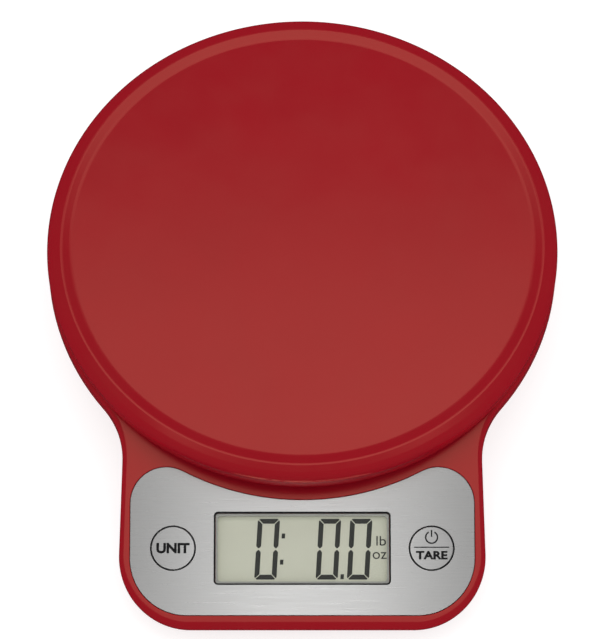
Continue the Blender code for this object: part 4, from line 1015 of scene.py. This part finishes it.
def make_underside_screws():
    kinds = (  # name, places, height of the head's underside, head height, shank length
        ("case_screw", both_sides(CASE_SCREW_PLACES), 4.1 * MM, 1.7 * MM, 13.2 * MM),
        ("load_cell_screw", BAR_SCREW_PLACES, 2.9 * MM, 0.9 * MM, 8.0 * MM),
    )
    for name, places, height, head_height, shank_length in kinds:
        for number, place in enumerate(places, start=1):
            bm = bmesh.new()
            add_screw(bm, HEAD_RADIUS, head_height, shank_length, place, height)
            screw = make_piece(f"{name}_fine_{number}", bm, MATERIALS["screw_steel"], "base",
                               [f"{name}_{number}"], CASE_PLACE)
            recess = bmesh.new()
            reach, half = 1.5 * MM, 0.36 * MM
            low, high = height - 2 * head_height, height - head_height * 0.4
            cross = []
            for quarter in range(4):
                turn = Matrix.Rotation(quarter * math.pi / 2, 2)
                cross += [turn @ Vector(point) for point in ((reach, -half), (reach, half), (half, half))]
            add_polygon(recess, [(place[0] + x, place[1] + y) for x, y in cross], low, high)
            apply_boolean(screw, recess, "DIFFERENCE", CASE_PLACE)


def make_battery_door():
    half_length = BAY_HALF_LENGTH - CLEARANCE
    roll = DOOR_THICKNESS / 2
    back = HINGE_Y + DOOR_DEPTH
    section = arc((HINGE_Y, HINGE_Z), roll, math.radians(90), math.radians(270), math.radians(12))
    corner = 0.3 * MM
    section += arc((back - corner, HINGE_Z - roll + corner), corner, -math.pi / 2, 0.0, math.radians(30))
    section += arc((back - corner, HINGE_Z + roll - corner), corner, 0.0, math.pi / 2, math.radians(30))
    bm = bmesh.new()
    ends = [[(x, y, z) for y, z in section] for x in (-half_length, half_length)]
    loops = add_loops(bm, ends, closed=False)
    bm.faces.new(loops[0])
    bm.faces.new(loops[1])
    door = make_piece("battery_flap", bm, MATERIALS["underside_red"], "battery_door_body",
                      ["battery_door"], CASE_PLACE)
    pins = bmesh.new()
    pin_reach = BAY_HALF_LENGTH + 1.5 * MM
    add_bar_along_x(pins, HINGE_PIN_RADIUS, -pin_reach, pin_reach, HINGE_Y, HINGE_Z)
    apply_boolean(door, pins, "UNION", CASE_PLACE)
    snap_arm = bmesh.new()
    add_box(snap_arm, (-6 * MM, back - 1.5 * MM, HINGE_Z), (6 * MM, back - 0.3 * MM, HINGE_Z + 4.5 * MM))
    apply_boolean(door, snap_arm, "UNION", CASE_PLACE)
    grip = bmesh.new()
    for k in range(3):
        groove = back - (4.0 + 2.2 * k) * MM
        add_bar_along_x(grip, 0.75 * MM, -8 * MM, 8 * MM, groove, HINGE_Z - roll - 0.25 * MM)
    apply_boolean(door, grip, "DIFFERENCE", CASE_PLACE)
    weigh_normals(door)


# ---------------------------------------------------------------- carried-over CAD nodes

def dress_cad_nodes():
    """Give every CAD node the detailed material of its own slot, which its plain material is named after."""
    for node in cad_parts.values():
        for material_slot in node.material_slots:
            material_slot.material = MATERIALS[material_slot.material.name]


# ---------------------------------------------------------------- stage

def make_stage():
    bm = bmesh.new()
    bmesh.ops.create_grid(bm, x_segments=1, y_segments=1, size=4.0)
    floor_look = Recipe("floor", 0.9)
    floor_look.shader.inputs["Base Color"].default_value = (0.45, 0.45, 0.45, 1.0)
    floor_look.shader.inputs["Specular IOR Level"].default_value = 0.0
    floor_look.shader.inputs["Emission Color"].default_value = (1.0, 1.0, 1.0, 1.0)
    floor_look.shader.inputs["Emission Strength"].default_value = 0.7
    floor = make_piece("floor", bm, floor_look.material)
    floor.visible_glossy = False


def make_area_light(name, place, size, power):
    """A rectangular light over the object, facing straight down."""
    light = bpy.data.lights.new(name, "AREA")
    light.shape = "RECTANGLE"
    light.size, light.size_y = size
    light.energy = power
    lamp = bpy.data.objects.new(name, light)
    bpy.context.collection.objects.link(lamp)
    lamp.location = (*place, LIGHT_HEIGHT)
    lamp.visible_camera = False
    return lamp


def make_world():
    """Even light for matt surfaces, and a dark studio around the softbox for shiny ones."""
    world = bpy.data.worlds.new("studio")
    world.use_nodes = True
    nodes, links = world.node_tree.nodes, world.node_tree.links
    background = nodes["Background"]
    path = nodes.new("ShaderNodeLightPath")
    gloss = nodes.new("ShaderNodeMapRange")
    gloss.inputs["To Min"].default_value = AMBIENT
    gloss.inputs["To Max"].default_value = AMBIENT_IN_GLOSS
    links.new(path.outputs["Is Glossy Ray"], gloss.inputs["Value"])
    background.inputs["Color"].default_value = (1.0, 1.0, 1.0, 1.0)
    links.new(gloss.outputs["Result"], background.inputs["Strength"])
    world.cycles.sampling_method = "NONE"
    bpy.context.scene.world = world


def make_lights():
    """A softbox with a brighter heart, and a narrow light that only the metal faces receive."""
    make_area_light("softbox", SOFTBOX_PLACE, SOFTBOX_SIZE, SOFTBOX_POWER)
    make_area_light("softbox_heart", SOFTBOX_HEART_PLACE, SOFTBOX_HEART_SIZE, SOFTBOX_HEART_POWER)
    panel_light = make_area_light("panel_light", PANEL_LIGHT_PLACE, PANEL_LIGHT_SIZE, PANEL_LIGHT_POWER)
    metal = bpy.data.collections.new("metal_faces")
    for name in ("display_panel", "unit_button", "tare_button"):
        metal.objects.link(bpy.data.objects[name])
    panel_light.light_linking.receiver_collection = metal


def make_camera():
    camera = bpy.data.cameras.new("camera")
    camera.lens = CAMERA_LENS
    camera.shift_x = CAMERA_SHIFT
    item = bpy.data.objects.new("camera", camera)
    bpy.context.collection.objects.link(item)
    item.location = CAMERA_PLACE
    item.rotation_euler = (CAMERA_TURN, 0.0, 0.0)
    bpy.context.scene.camera = item
    bpy.context.scene.view_settings.view_transform = "Standard"


make_camera()
make_world()
make_stage()
make_platter()
make_upper_case()
make_lower_case()
make_face_panel()
make_window()
make_surround()
make_display()
make_keys()
make_feet()
make_underside_screws()
make_battery_door()
dress_cad_nodes()
make_lights()

bpy.context.view_layer.update()
